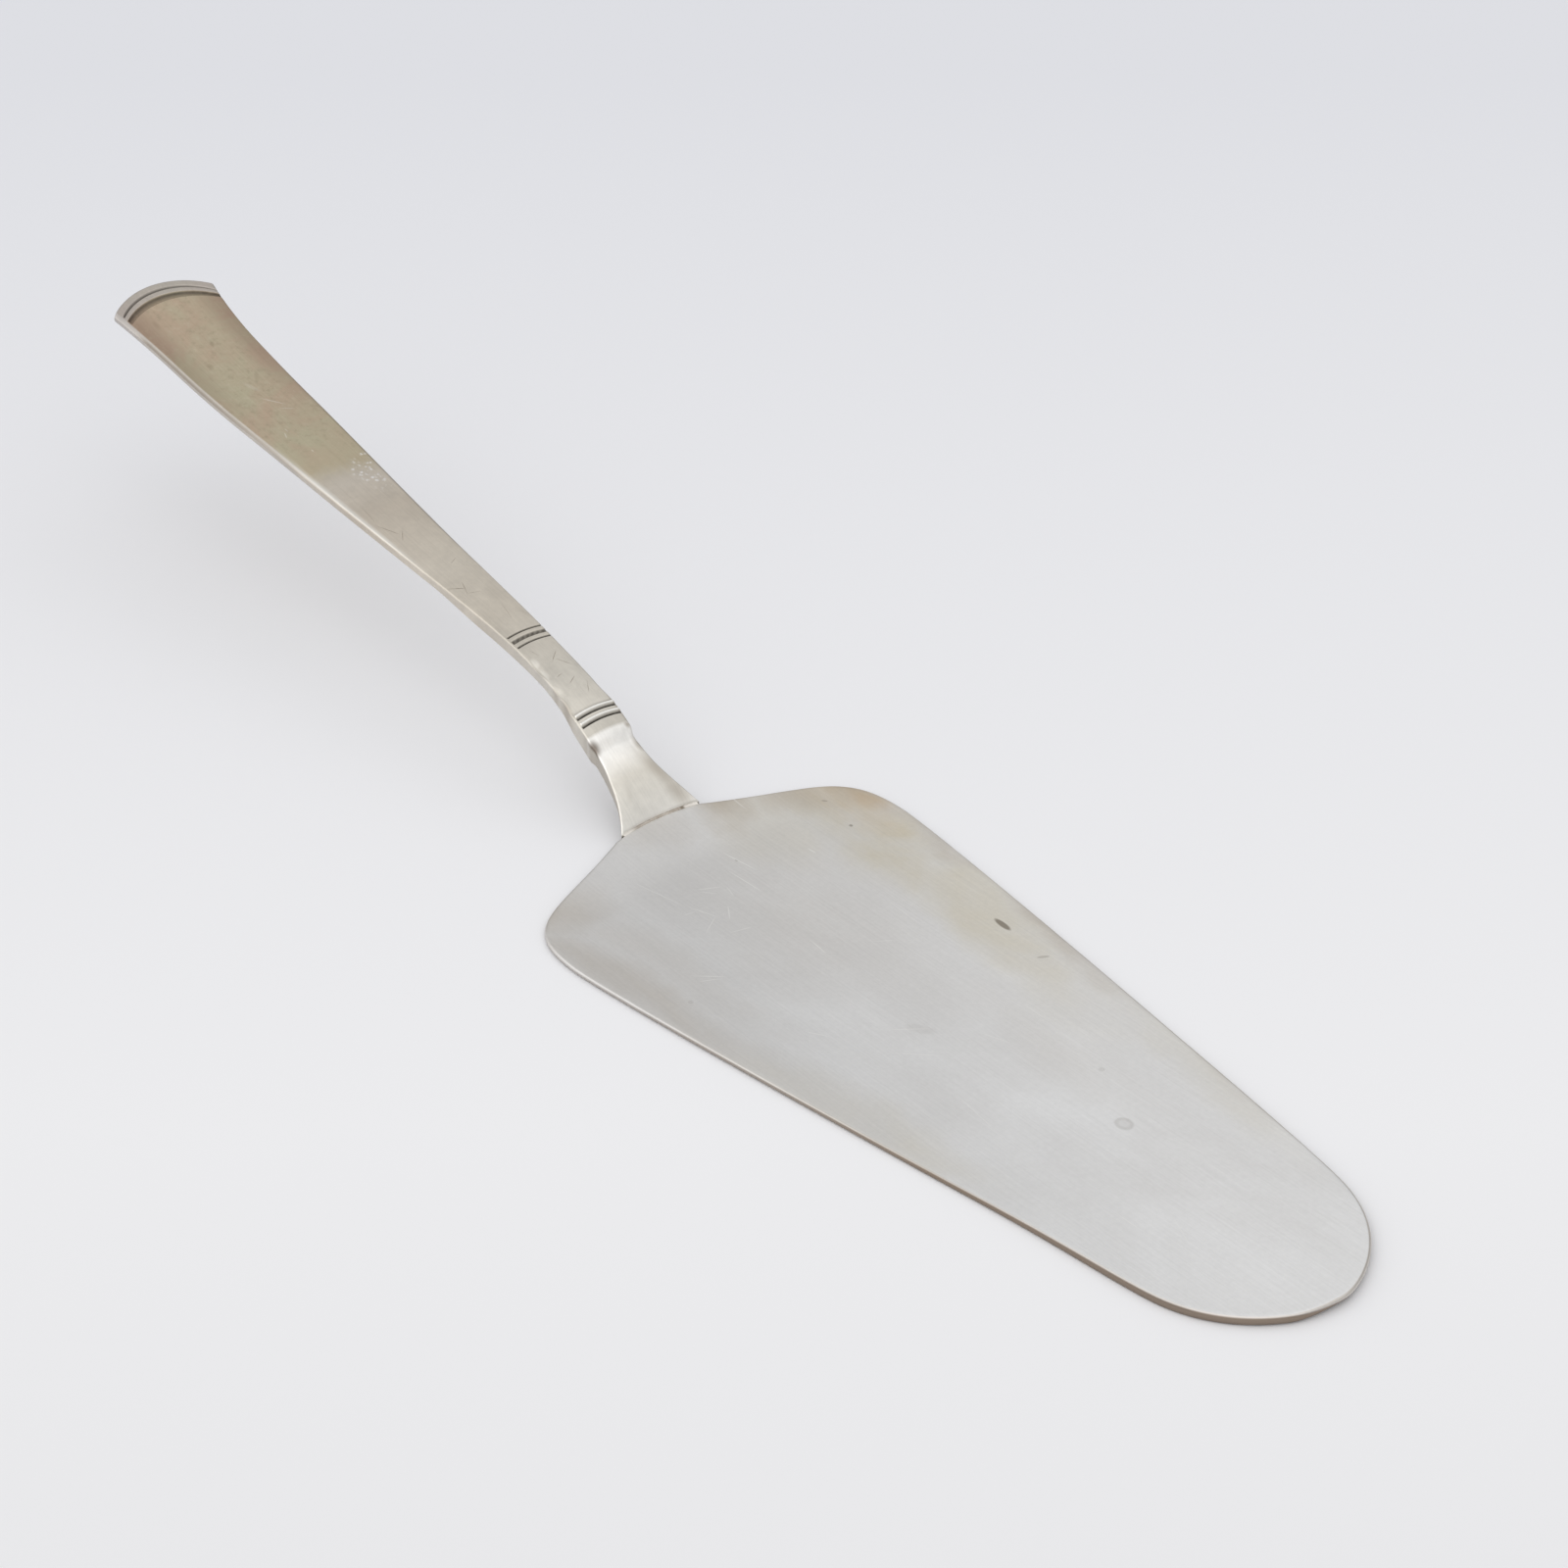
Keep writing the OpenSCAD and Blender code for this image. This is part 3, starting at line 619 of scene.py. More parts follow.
def on_bar(d, y, up):
    """A point of the handle: distance from the seam, side distance, height over the edge line."""
    far = d + face_bend(d, y)
    aside = y + FLARE_SHIFT * smooth_step(1 - d / (FLARE_LEN * 0.6))
    to_seam = np.maximum(0, 1 - d / (FLARE_LEN * 0.6)) ** 2 * (SOLDER_W - rear_edge(aside))
    return np.stack([SEAM_X - far - to_seam, aside, edge_height(far) + up], -1)


def groove_cut(d):
    """Depth of the grooves, raised lines beside the collar's, and how dirty each place is; the
    raised lines count below zero, for a painted highlight.
    """
    cut, dirt, bead = np.zeros_like(d), np.zeros_like(d), np.zeros_like(d)
    for i, (at, width, depth, broad) in enumerate(GROOVES):
        u = np.abs(d - at) / (width / 2)
        shape = np.clip((1 - u) * 2.4, 0, 1) if broad else np.clip(1 - u, 0, 1) ** 0.8
        cut += depth * shape
        dark = np.clip(shape * 1.3, 0, 1) * (0.85 if broad else 1.0)
        if i == FAN_FINE:
            dark *= 0.72
        if i == FAN_BROAD:     # cleaner on the side of the grip
            dark *= np.clip((d - at) / width * 0.9 + 0.62, 0, 1)
        dirt = np.maximum(dirt, dark)
        if i < COLLAR_GROOVES:
            bead = np.maximum(bead, np.clip(1 - ((d - at - width) / (width / 2)) ** 2, 0, 1))
    return cut - BEAD_H * bead, dirt - bead


# Rings along the bar, close together at grooves, step and ends
marks = [np.linspace(0, FLARE_LEN, 46), np.linspace(FLARE_LEN - SCOOP_STEP, FLARE_LEN, 16),
         np.linspace(FLARE_LEN, 32, 60), np.linspace(32, CORNER_X - 4, 190),
         np.linspace(CORNER_X - 4, CORNER_X, 30)]
marks += [np.linspace(at - width * 0.7, at + width * 0.7, 15) for at, width, _, _ in GROOVES]
marks += [np.linspace(at + width * 0.5, at + width * 1.5, 7)
          for at, width, _, _ in GROOVES[:COLLAR_GROOVES]]
ring_d = np.unique(np.round(np.concatenate(marks), 3))
ring_d = ring_d[np.concatenate([[True], np.diff(ring_d) > 0.02])]
ring_d[-1] = CORNER_X

ACROSS = 61
top_share = np.sin(np.linspace(-math.pi / 2, math.pi / 2, ACROSS) * 0.97) / math.sin(
    math.pi / 2 * 0.97)
edge_turn = np.linspace(0, math.pi / 2, 8)[:-1]
side_part = np.linspace(0, 1, 4)[1:-1]
under_turn = np.linspace(0, math.pi / 2, 6)[1:-1]


def bar_section(d):
    """Side distance, height, and place across (-1 to 1, beyond it on the sides) of one ring."""
    w, t = half_width(d), drop(d)
    flat = smooth_step((d - BELLY_X) / (LIFT_X - BELLY_X))
    bevel = EDGE_R + (BEVEL_W - EDGE_R) * flat
    low = w - UNDER_R
    under_y = low + UNDER_R * np.sin(under_turn)
    under_up = -t + UNDER_R * (1 - np.cos(under_turn))
    wall_up = (UNDER_R - t) + (t - UNDER_R - EDGE_R) * side_part
    side_share = np.concatenate([np.full(len(under_y) + 1 + len(side_part), 1.6),
                                 1.3 - 0.3 * edge_turn / (math.pi / 2)])
    right_y, left_y = (np.concatenate([under_y, [w], np.full(len(side_part), w),
                                       w - e + e * np.cos(edge_turn)]) for e in (EDGE_R, bevel))
    straight = w - bevel * edge_turn / (math.pi / 2)
    left_y[-len(edge_turn):] += (straight - left_y[-len(edge_turn):]) * 0.8 * flat
    side_up = np.concatenate([under_up, [UNDER_R - t], wall_up,
                              -EDGE_R + EDGE_R * np.sin(edge_turn)])
    top_y = np.interp(top_share, (-1, 1), (bevel - w, w - EDGE_R))
    flare = smooth_step(1 - abs(d - FLARE_LEN / 2) / FLARE_LEN)
    top_up = (CROWN * smooth_step(d / FLARE_LEN) + FLARE_CROWN * flare) * (1 - top_share ** 2)
    cut, dirt = groove_cut(np.array([d]))
    ends = smooth_step((1 + top_share) / 0.05)
    run_out = np.clip(1 - (FLARE_LEN - SCOOP_STEP - d) / (SCOOP_LEN - SCOOP_STEP), 0, 1)
    step = np.clip((FLARE_LEN - d) / SCOOP_STEP, 0, 1)
    scoop = SCOOP_DEPTH * (0.35 * smooth_step(step) + 0.65 * step) * run_out ** 1.6
    wall = smooth_step((1 - np.abs(top_share)) / SCOOP_WALL)
    top_up = top_up - cut[0] * ends - scoop * (SCOOP_RIM + (1 - SCOOP_RIM) * wall)
    side_up = side_up - scoop * SCOOP_RIM * np.clip((side_up + t - UNDER_R) / (t - UNDER_R), 0, 1)
    open_end = np.clip((1.3 - side_share) / 0.12, 0, 1)
    left_up = side_up.copy()
    left_up[-len(edge_turn):] += (-EDGE_R * (1 - edge_turn / (math.pi / 2))
                                  + EDGE_R * (1 - np.sin(edge_turn))) * 0.8 * flat
    y = [low * top_share, right_y, top_y[::-1], -left_y[::-1]]
    up = [np.full(ACROSS, -t), side_up - cut[0] * open_end, top_up[::-1], left_up[::-1]]
    share = [top_share * 0 + 2.0, side_share, top_share[::-1], -side_share[::-1]]
    recess = np.zeros(sum(len(part) for part in y))
    start = ACROSS + len(right_y)
    recess[start:start + ACROSS] = (dirt[0] * ends)[::-1]
    recess[ACROSS:start] = dirt[0] * open_end
    return np.concatenate(y), np.concatenate(up), np.concatenate(share), recess


ring_points, strip, recesses = [], [], []
for d in ring_d:
    y, up, share, recess = bar_section(d)
    on_top = smooth_step((1.35 - np.abs(share)) / 0.3)
    for at, side, half_len, half_wid, depth in DENTS:
        near = np.exp(-((d - at) / half_len) ** 2 - ((y - side) / half_wid) ** 2)
        up = up - depth * near * on_top
    ring_points.append(on_bar(d, y, up))
    strip.append(np.stack([np.full(len(y), d), y, share], -1))
    recesses.append(recess)
# The end of the fan is rounded over
for turn_deg in (22, 45, 68, 90):
    y, up, share, recess = bar_section(CORNER_X)
    t = drop(CORNER_X)
    shrink = 1 - EDGE_R * (1 - math.cos(math.radians(turn_deg))) / (t / 2)
    ring = on_bar(CORNER_X, y, -t / 2 + (t / 2 + up) * shrink)
    ring[:, 0] -= EDGE_R * math.sin(math.radians(turn_deg))
    ring_points.append(ring)
    strip.append(np.stack([np.full(len(y), CORNER_X + 0.3), y, np.sign(share) * 1.3], -1))
    recesses.append(recess * 0)
n = len(ring_points[0])
m = len(ring_points)
points = np.vstack(ring_points)
surface_wave = sum(wave(points, length, seed) * height for length, seed, height in BAR_WAVES)
points[:, 2] += surface_wave * smooth_step(np.concatenate([s[:, 0] for s in strip]) / 4)
faces = skin(m, n)
side_n = (n - 2 * ACROSS) // 2
for start, flip in ((0, 1), ((m - 1) * n, -1)):
    cap = [(start + i, start + i + 1, start + n - side_n - 2 - i, start + n - side_n - 1 - i)
           for i in range(ACROSS - 1)]
    right_end = [start + ACROSS - 1 + i for i in range(side_n + 2)]
    left_end = [start] + [start + n - 1 - i for i in range(side_n + 1)]
    faces += [face[::flip] for face in cap] + [right_end[::flip], left_end[::flip]]
handle = new_piece("forged_handle", points, faces)
store(handle, "strip", np.vstack(strip))
store(handle, "recess", np.concatenate(recesses))
close_up(handle, 0.001 * MM)

# Forged and filed silver, worn satin. On the upper half a patina of old tarnish, olive to
# brown, ends in a crust of pale pits; worn edges are bare, and the grooves hold dark oxide.
PATINA_OLIVE = "#C5BDA4"
PATINA_BROWN = "#C7B49E"
PATINA_EDGE = "#AE9886"
PATINA_EDGE_OLIVE = "#AFA28C"
PATINA_DEEP = "#AEA18B"
PATINA_PALE = "#D5CBB7"
BAR_SILVER = "#F0ECE3"
FAN_RIM = "#C4BEB9"
# Distance from the seam, and how the bare metal looks there: its tone, with painted light on the
# neck, lighter where the hollow's floor starts (7.5 to 10.5), a painted highlight, and darker on
# the foot and just past the step, painted shade
BAR_TONES_AND_LIGHT = ((0, "#F6F3EC"), (3, "#E9E5DC"), (5, "#E2DDD3"), (7.5, "#FBF8F2"), (8.9, "#FDFBF7"),
             (10.5, "#FDFBF7"), (10.9, "#D2CDC3"), (14, "#DDD8CE"), (20, "#DAD5CB"),
             (34, "#D5CDC0"), (46, "#DBD3C6"), (62, "#D0C6B8"), (76, "#CEC7BD"),
             (100, "#CEC7BD"))
TONES_END = BAR_TONES_AND_LIGHT[-1][0]
OXIDE = "#4A4640"
CRUST = "#F4F2F0"
OLD_BROWN = "#7A6650"
# Brown of the hollow's corner, partly patina and partly painted shade, and of the painted shade
# along the edges
WALL_BROWN_AND_SHADE = "#75685C"
# Painted highlight on the collar's raised beads and along the inner left bevel
BEAD_HIGHLIGHT = "#FBF9F4"
# Places with their half lengths, turn and strength, as on the blade: the brown corner at the left
# end of the hollow's wall, partly patina and partly painted shade; painted shade on the wall
# itself, and painted shade on places of the foot and the neck
CORNER_SHADE_PLACES = ((9.5, -3.5, 1.3, 1.45, 0, 0.88), (8.5, -3.9, 1.3, 0.55, 8, 0.7))
WALL_SHADE_PLACES = ((9.4, -1.8, 0.8, 2.6, 0, 0.16),)
PAINTED_SHADE_PLACES = ((4.4, 3.6, 5, 1.9, -22, 0.75), (1.6, 4.4, 3.4, 2.2, -24, 0.7),
                (8, 3.2, 1.8, 1.2, 0, 0.8), (13.2, 3.4, 3.4, 0.6, 0, 0.8),
                (10.4, 3.1, 0.6, 0.7, 0, 0.9), (38, 1.6, 3, 1.6, 0, 0.35),
                (15.5, -3.3, 3, 0.7, 0, 0.9), (18.2, -3.2, 1.2, 0.6, 0, 0.7))
# Colour of the painted shade
PAINTED_SHADE_TONE = "#BDB5A9"
FOOT_SIDE = "#C2BCB2"
HAMMER_PLACES = ((20, 0, 8, 4.5, 0, 1), (36, 0.5, 7, 4, 0, 0.35))
# Painted light along the edges: painted shade as dark lines along the outer left bevel and the
# right edge, and a painted
# highlight along the inner left bevel: place across, colour, strength, and the distances where
# each fades in and out
PAINTED_EDGE_LIGHT = ((-1.25, WALL_BROWN_AND_SHADE, 0.62, (60, 95), (115, 112)),
              (1.12, WALL_BROWN_AND_SHADE, 0.5, (44, 54), (102, 94)),
              (-1.06, BEAD_HIGHLIGHT, 0.6, (46, 56), (84, 72)))
# Slanting file marks in the broad groove of the neck; a wave node repeats every 0.314 units
HATCH_PITCH = 0.707
HATCH_TURN = 55
HATCH_LIGHT = 0.82
WAVE_NODE_PERIOD = 2 * math.pi / 20
# Patches and pits of the patina to the metre, and the ragged, slanting line where it ends
MOTTLES_PER_M = 110.0
PITS_PER_M = 900.0
PATINA_END = 71.5
PATINA_FADE = (3.0, 8.5)
PATINA_RAGGED = 9.0
PATINA_SLANT = 0.12
CRUST_PIT = 0.75
FILE_LEN = 14.0
FILE_W = 0.3
HAMMER_LEN = 2.4
BAR_ROUGHNESS = 0.34
bar_silver, tree, shader = new_material("forged_silver_patinated", 1.0)
strip_place = add_node(tree, "Attribute", attribute_name="strip").outputs["Vector"]
along, aside, across = add_node(tree, "SeparateXYZ", {0: strip_place}).outputs
place = add_node(tree, "VectorMath", {0: strip_place, 1: (MM, MM, 0)}, operation="MULTIPLY")
object_coords = add_node(tree, "TexCoord").outputs["Object"]
across_abs = add_node(tree, "Math", {0: across}, operation="ABSOLUTE")
recess = add_node(tree, "Attribute", attribute_name="recess").outputs["Fac"]
# The collar's raised beads, where the recess is below zero, get a painted highlight
bead = add_node(tree, "MapRange", {"Value": recess, "From Min": -0.2, "From Max": -0.8})
mottle = add_node(tree, "TexNoise", {
    "Vector": object_coords, "Scale": MOTTLES_PER_M, "Detail": 5.0, "Roughness": 0.6,
    "Distortion": 0.8})
fine_mottle = add_node(tree, "TexNoise", {
    "Vector": object_coords, "Scale": PITS_PER_M, "Detail": 4.0, "Roughness": 0.65})
file_lines = add_node(tree, "TexNoise", {
    "Vector": add_node(tree, "Mapping", {
        "Vector": place, "Scale": (1 / (FILE_LEN * MM), 1 / (FILE_W * MM), 1.0)}),
    "Scale": 1.0, "Detail": 3.0})

# Where the patina is: past its ragged line, not on the worn edges, and all over the underside
ragged = add_node(tree, "Math", {0: mottle, 1: PATINA_RAGGED, 2: along},
                  operation="MULTIPLY_ADD")
slanted = add_node(tree, "Math", {0: aside, 1: PATINA_SLANT, 2: ragged},
                   operation="MULTIPLY_ADD")
patina = add_node(tree, "MapRange", {
    "Value": slanted, "From Min": PATINA_END + PATINA_FADE[0],
    "From Max": PATINA_END + PATINA_FADE[1]}, interpolation_type="SMOOTHSTEP")
off_left = add_node(tree, "MapRange", {
    "Value": across, "From Min": -1.05, "From Max": -0.98}, interpolation_type="SMOOTHSTEP")
off_right = add_node(tree, "MapRange", {
    "Value": across, "From Min": 1.2, "From Max": 1.32, "To Min": 1.0, "To Max": 0.0},
    interpolation_type="SMOOTHSTEP")
unworn = product(tree, off_left, off_right)
past_grooves = add_node(tree, "MapRange", {
    "Value": along, "From Min": CORNER_X - 2.3, "From Max": CORNER_X - 2.2,
    "To Min": 1.0, "To Max": 0.25})
under = add_node(tree, "Math", {0: across_abs, 1: 1.8}, operation="GREATER_THAN")
on_face = add_node(tree, "Math", {0: product(tree, unworn, past_grooves), 1: under},
                   operation="MAXIMUM")
patina = product(tree, patina, on_face)

# Its tones: brown and olive patches, pale and deep pits, and olive again where it ends
tone = PATINA_OLIVE
for value, start, end, most, shade in (
        (mottle, 0.36, 0.62, 1.0, PATINA_BROWN), (fine_mottle, 0.55, 0.8, 0.6, PATINA_PALE),
        (fine_mottle, 0.48, 0.3, 0.55, PATINA_DEEP), (along, 84.0, 75.0, 0.6, PATINA_OLIVE)):
    patches = add_node(tree, "MapRange", {
        "Value": value, "From Min": start, "From Max": end, "To Max": most})
    tone = layered(tree, tone, (patches, shade))
# It is deepest along both edges of the fan
to_edge = add_node(tree, "MapRange", {
    "Value": across_abs, "From Min": 0.35, "From Max": 1.0}, interpolation_type="SMOOTHSTEP")
to_fan = add_node(tree, "MapRange", {
    "Value": along, "From Min": 84.0, "From Max": 108.0, "To Max": 0.95},
    interpolation_type="SMOOTHSTEP")
edge_mask = broken_up(tree, product(tree, to_edge, to_fan), fine_mottle, 0.2, 0.5)
patches = add_node(tree, "MapRange", {"Value": mottle, "From Min": 0.4, "From Max": 0.56})
edge_tone = layered(tree, PATINA_EDGE_OLIVE, (patches, PATINA_EDGE))
tone = layered(tree, tone, (edge_mask, edge_tone))

# The bare metal: its tone along the bar, with painted highlight and painted shade on the neck,
# cloudy in patches and in pits
bare = add_node(tree, "ValToRGB", {"Fac": add_node(tree, "MapRange", {
    "Value": along, "From Max": TONES_END})})
set_stops(bare, [(at / TONES_END, shade) for at, shade in BAR_TONES_AND_LIGHT])
fan_end = add_node(tree, "MapRange", {
    "Value": along, "From Min": CORNER_X - 9.0, "From Max": CORNER_X - 3.0})
bare = layered(tree, bare, (fan_end, FAN_RIM))
cloudy = [add_node(tree, "MapRange", {
    "Value": texture, "From Min": 0.35, "From Max": 0.65, "To Min": dark, "To Max": light})
    for texture, dark, light in ((mottle, 0.95, 1.045), (fine_mottle, 0.965, 1.03))]
bare = add_node(tree, "VectorMath", {0: bare, "Scale": product(tree, *cloudy)},
                operation="SCALE")

# Pale crust of pits where the patina ends, dark stains, then painted shade on the foot, the neck
# and the hollow's wall, the sides of the foot darker, and the brown corner
CRUST_PLACES = ((71, 2.6, 4.4, 2.4, 10, 1), (73, 3.9, 1.8, 1.5, 0, 1),
                (68, 2.8, 3.6, 2, 0, 0.8), (74.6, 5, 0.9, 0.9, 0, 1))
DARK_PLACES = ((3.3, -2.5, 1.6, 0.7, 30, 0.1), (107.5, 0.6, 0.9, 0.5, 20, 0.35),
               (103.2, -2.6, 1, 0.7, 0, 0.3), (98, 2.2, 2.2, 0.5, 30, 0.18),
               (21, -3.6, 1.2, 0.25, 0, 0.5), (113.6, -4.4, 1.2, 0.6, 0, 0.2))
crust_cells = add_node(tree, "TexVoronoi", {
    "Vector": object_coords, "Scale": 1 / (CRUST_PIT * MM)}, feature="F1")
crust_spots = add_node(tree, "MapRange", {
    "Value": crust_cells, "From Min": 0.3, "From Max": 0.5, "To Min": 1.0, "To Max": 0.0})
crust_some = add_node(tree, "MapRange", {
    "Value": fine_mottle, "From Min": 0.46, "From Max": 0.58})
crust = product(tree, crust_spots, crust_some, spots(tree, place, CRUST_PLACES, 0.6), unworn)
dark = broken_up(tree, spots(tree, place, DARK_PLACES, 0.8), fine_mottle, 0.3, 0.6)
painted_shade = spots(tree, place, PAINTED_SHADE_PLACES, 1.0)
# Painted shade on the hollow's wall
wall_shade = spots(tree, place, WALL_SHADE_PLACES, 0.7)
on_top = add_node(tree, "MapRange", {
    "Value": across_abs, "From Min": 1.32, "From Max": 1.15})
on_side = add_node(tree, "Math", {0: 1.0, 1: on_top}, operation="SUBTRACT")
at_foot = add_node(tree, "MapRange", {"Value": along, "From Min": 12.0, "From Max": 10.0})
above_side = add_node(tree, "MapRange", {
    "Value": across_abs, "From Min": 1.5, "From Max": 1.3})
# The brown corner at the left end of the hollow's wall: partly patina, partly painted shade
corner_shade = product(tree, spots(tree, place, CORNER_SHADE_PLACES, 0.8), above_side)
colour = layered(
    tree, bare, (patina, tone), (crust, CRUST), (dark, OLD_BROWN), (painted_shade, PAINTED_SHADE_TONE),
    (wall_shade, PAINTED_SHADE_TONE), (product(tree, on_side, at_foot), FOOT_SIDE),
    (corner_shade, WALL_BROWN_AND_SHADE))
# Painted shade and painted highlight along the edges
for at, shade, strength, fade_in, fade_out in PAINTED_EDGE_LIGHT:
    off_line = add_node(tree, "Math", {0: across, 1: at}, operation="SUBTRACT")
    off_line = add_node(tree, "Math", {0: off_line}, operation="ABSOLUTE")
    line = add_node(tree, "MapRange", {
        "Value": off_line, "From Min": 0.17, "From Max": 0.05, "To Max": strength})
    for start, end in (fade_in, fade_out):
        faded = add_node(tree, "MapRange", {"Value": along, "From Min": start, "From Max": end})
        line = product(tree, line, faded)
    colour = layered(tree, colour, (line, shade))

# Dark oxide in the grooves, lighter in stripes in the neck's broad one, and a painted highlight
# on the raised beads
hatch = add_node(tree, "TexWave", {
    "Vector": add_node(tree, "Mapping", {
        "Vector": place, "Rotation": (0, 0, math.radians(HATCH_TURN))}),
    "Scale": WAVE_NODE_PERIOD / (HATCH_PITCH * MM), "Distortion": 1.0}, wave_type="BANDS")
hatch_light = add_node(tree, "MapRange", {
    "Value": hatch.outputs["Fac"], "To Min": 1.0, "To Max": HATCH_LIGHT})
in_broad = add_node(tree, "Math", {0: along, 1: GROOVES[NECK_BROAD][0], 2: 0.5},
                    operation="COMPARE")
stripes = add_node(tree, "MapRange", {
    "Value": in_broad, "To Min": 1.0, "To Max": hatch_light})
recess = add_node(tree, "Math", {0: product(tree, recess, stripes), 1: 0.0},
                  operation="MAXIMUM")
oxide = broken_up(tree, recess, fine_mottle, -0.6, 0.55)
colour = layered(tree, colour, (oxide, OXIDE), (bead, BEAD_HIGHLIGHT))

# Hairlines and short scratches on the grip
HAIRLINES = ((57.7, -2.7, 2.4, 0.07, -25, 0.8), (55.6, -1.6, 1.6, 0.06, 35, 0.8),
             (41.8, -2.5, 1.6, 0.08, -55, 0.9), (41, -1.4, 1.8, 0.06, 20, 0.7),
             (39.6, -0.8, 1.2, 0.06, -70, 0.6), (47, 1, 1, 0.06, 60, 0.5),
             (23.2, 0.6, 1.6, 0.07, 48, 0.7), (21.8, 1.2, 1.4, 0.07, -38, 0.7),
             (18.6, 0.2, 1.1, 0.06, 60, 0.7), (25, -1.4, 1, 0.05, -20, 0.6),
             (17, 1.6, 1.4, 0.06, 30, 0.6), (62, -3, 2.6, 0.05, 5, 0.5),
             (34, 0.6, 2.2, 0.05, 12, 0.45), (20, -0.9, 0.7, 0.06, 80, 0.6))
PALE_MARKS = ((21.3, -2.8, 1.5, 0.8, 0, 0.7), (23.6, -2.5, 1.1, 0.8, 0, 0.6),
              (91.5, 0.8, 2.4, 0.2, -38, 0.3), (89, 1.6, 1.4, 0.18, -60, 0.22),
              (83.6, -2.4, 0.9, 0.14, 20, 0.4), (84.6, -1.6, 0.6, 0.12, 0, 0.35),
              (78.5, -1.2, 0.4, 0.12, 0, 0.5), (96, 0, 2, 0.5, -20, 0.15))
HAIR_STRENGTH = 0.85
FILE_TONES = (0.95, 1.03)
hair = broken_up(tree, spots(tree, place, HAIRLINES, 0.5), fine_mottle, 0.4, 0.55)
hair = product(tree, hair, unworn)
pale = product(tree, spots(tree, place, PALE_MARKS, 0.6), unworn)
colour = layered(tree, colour, (product(tree, hair, HAIR_STRENGTH), OLD_BROWN),
                 (pale, BAR_SILVER))
grain = add_node(tree, "MapRange", {
    "Value": file_lines, "From Min": 0.25, "From Max": 0.75,
    "To Min": FILE_TONES[0], "To Max": FILE_TONES[1]})
colour = add_node(tree, "VectorMath", {0: colour, "Scale": grain}, operation="SCALE")
rough = BAR_ROUGHNESS
for value, rougher in ((patina, 0.14), (oxide, 0.3), (fine_mottle, 0.08)):
    rough = add_node(tree, "Math", {0: value, 1: rougher, 2: rough}, operation="MULTIPLY_ADD")

# Relief: pits, crust, hairlines and file marks. The neck was hit and bent more than the rest,
# and has broad shallow marks of the hammer.
hammered = add_node(tree, "TexNoise", {
    "Vector": object_coords, "Scale": 1 / (HAMMER_LEN * MM), "Detail": 2.0,
    "Distortion": 1.2})
hammered = product(tree, hammered, spots(tree, place, HAMMER_PLACES, 0.6))
relief = fine_mottle
for value, high in ((crust, 3.0), (hair, -5.0), (file_lines, 0.6), (hammered, 9.0)):
    relief = add_node(tree, "Math", {0: value, 1: high, 2: relief}, operation="MULTIPLY_ADD")
bump = add_node(tree, "Bump", {"Height": relief, "Strength": 0.25, "Distance": 0.04 * MM})
plug(tree, shader, {"Base Color": colour, "Roughness": rough, "Normal": bump})
handle.data.materials.append(bar_silver)
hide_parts("handle")
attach(handle, "root")

# Solder seam
# Silver solder that ran into the joint between foot and sheet and stands in it as a thin,
# uneven fillet. It is browner than the silver, and was never quite filed away.
SEAM_STEPS = 220
SECTION_STEPS = 9
SOLDER_REACH = 0.24
BELOW_FACE = 0.05
seam_y = FLARE_SHIFT + np.linspace(-FLARE_W / 2 + EDGE_R, FLARE_W / 2 - EDGE_R, SEAM_STEPS)
lump = np.array([noise.noise((y * 1.7, 4.2, 0.3)) + 0.6 * noise.noise((y * 5.0, 1.2, 8.3))
                 for y in seam_y])
rows = []
for y, bulge in zip(seam_y, lump):
    x1 = rear_edge(y)
    under_z = sheet_height(x1)
    top_z = SEAM_TOP - BELOW_FACE
    reach = SOLDER_REACH * (1 + 0.35 * bulge)
    face_z = sheet_height(x1 + reach) + BLADE_T
    turns = np.linspace(0, math.pi / 2, SECTION_STEPS)
    fillet_x = x1 + reach - (reach + SOLDER_W * 0.7) * np.sin(turns)
    fillet_z = face_z + (top_z - face_z) * (1 - np.cos(turns)) ** 0.9
    body_x = np.concatenate([[x1 - SOLDER_W, x1, x1], fillet_x, [x1 - SOLDER_W]])
    body_z = np.concatenate([[under_z, under_z, under_z + BLADE_T - BELOW_FACE], fillet_z,
                             [top_z]])
    rows.append(np.stack([SEAM_X + body_x, np.full(len(body_x), y), body_z], -1))
n = len(rows[0])
points = np.vstack(rows)
faces = skin(SEAM_STEPS, n)
faces += [tuple(range(n))[::-1], tuple((SEAM_STEPS - 1) * n + i for i in range(n))]
seam = new_piece("solder_fillet", points, faces)
close_up(seam, 0.001 * MM)

# Silver solder: more copper and zinc than the sheet, so duller and browner, finely pitted
SOLDER_LIGHT = "#E4DED5"
SOLDER_DARK = "#A89D91"
# Light colour of the ends, at the left end partly a painted highlight
SOLDER_ENDS_HIGHLIGHT = "#F2EEE7"
BLOTCH_LEN = 1.1
# Side distance and how brown the seam is there, from one end of its range to the other; elsewhere
# it takes the light colour of the ends, which at the left end is partly a painted highlight
BROWN_END = 8.0
BROWN_ALONG = ((-BROWN_END, 0), (-6.2, 0), (-4.2, 0.15), (-3, 0.8), (2.5, 1),
               (4.4, 1), (5.2, 0.3), (7, 0.05), (BROWN_END, 0.05))
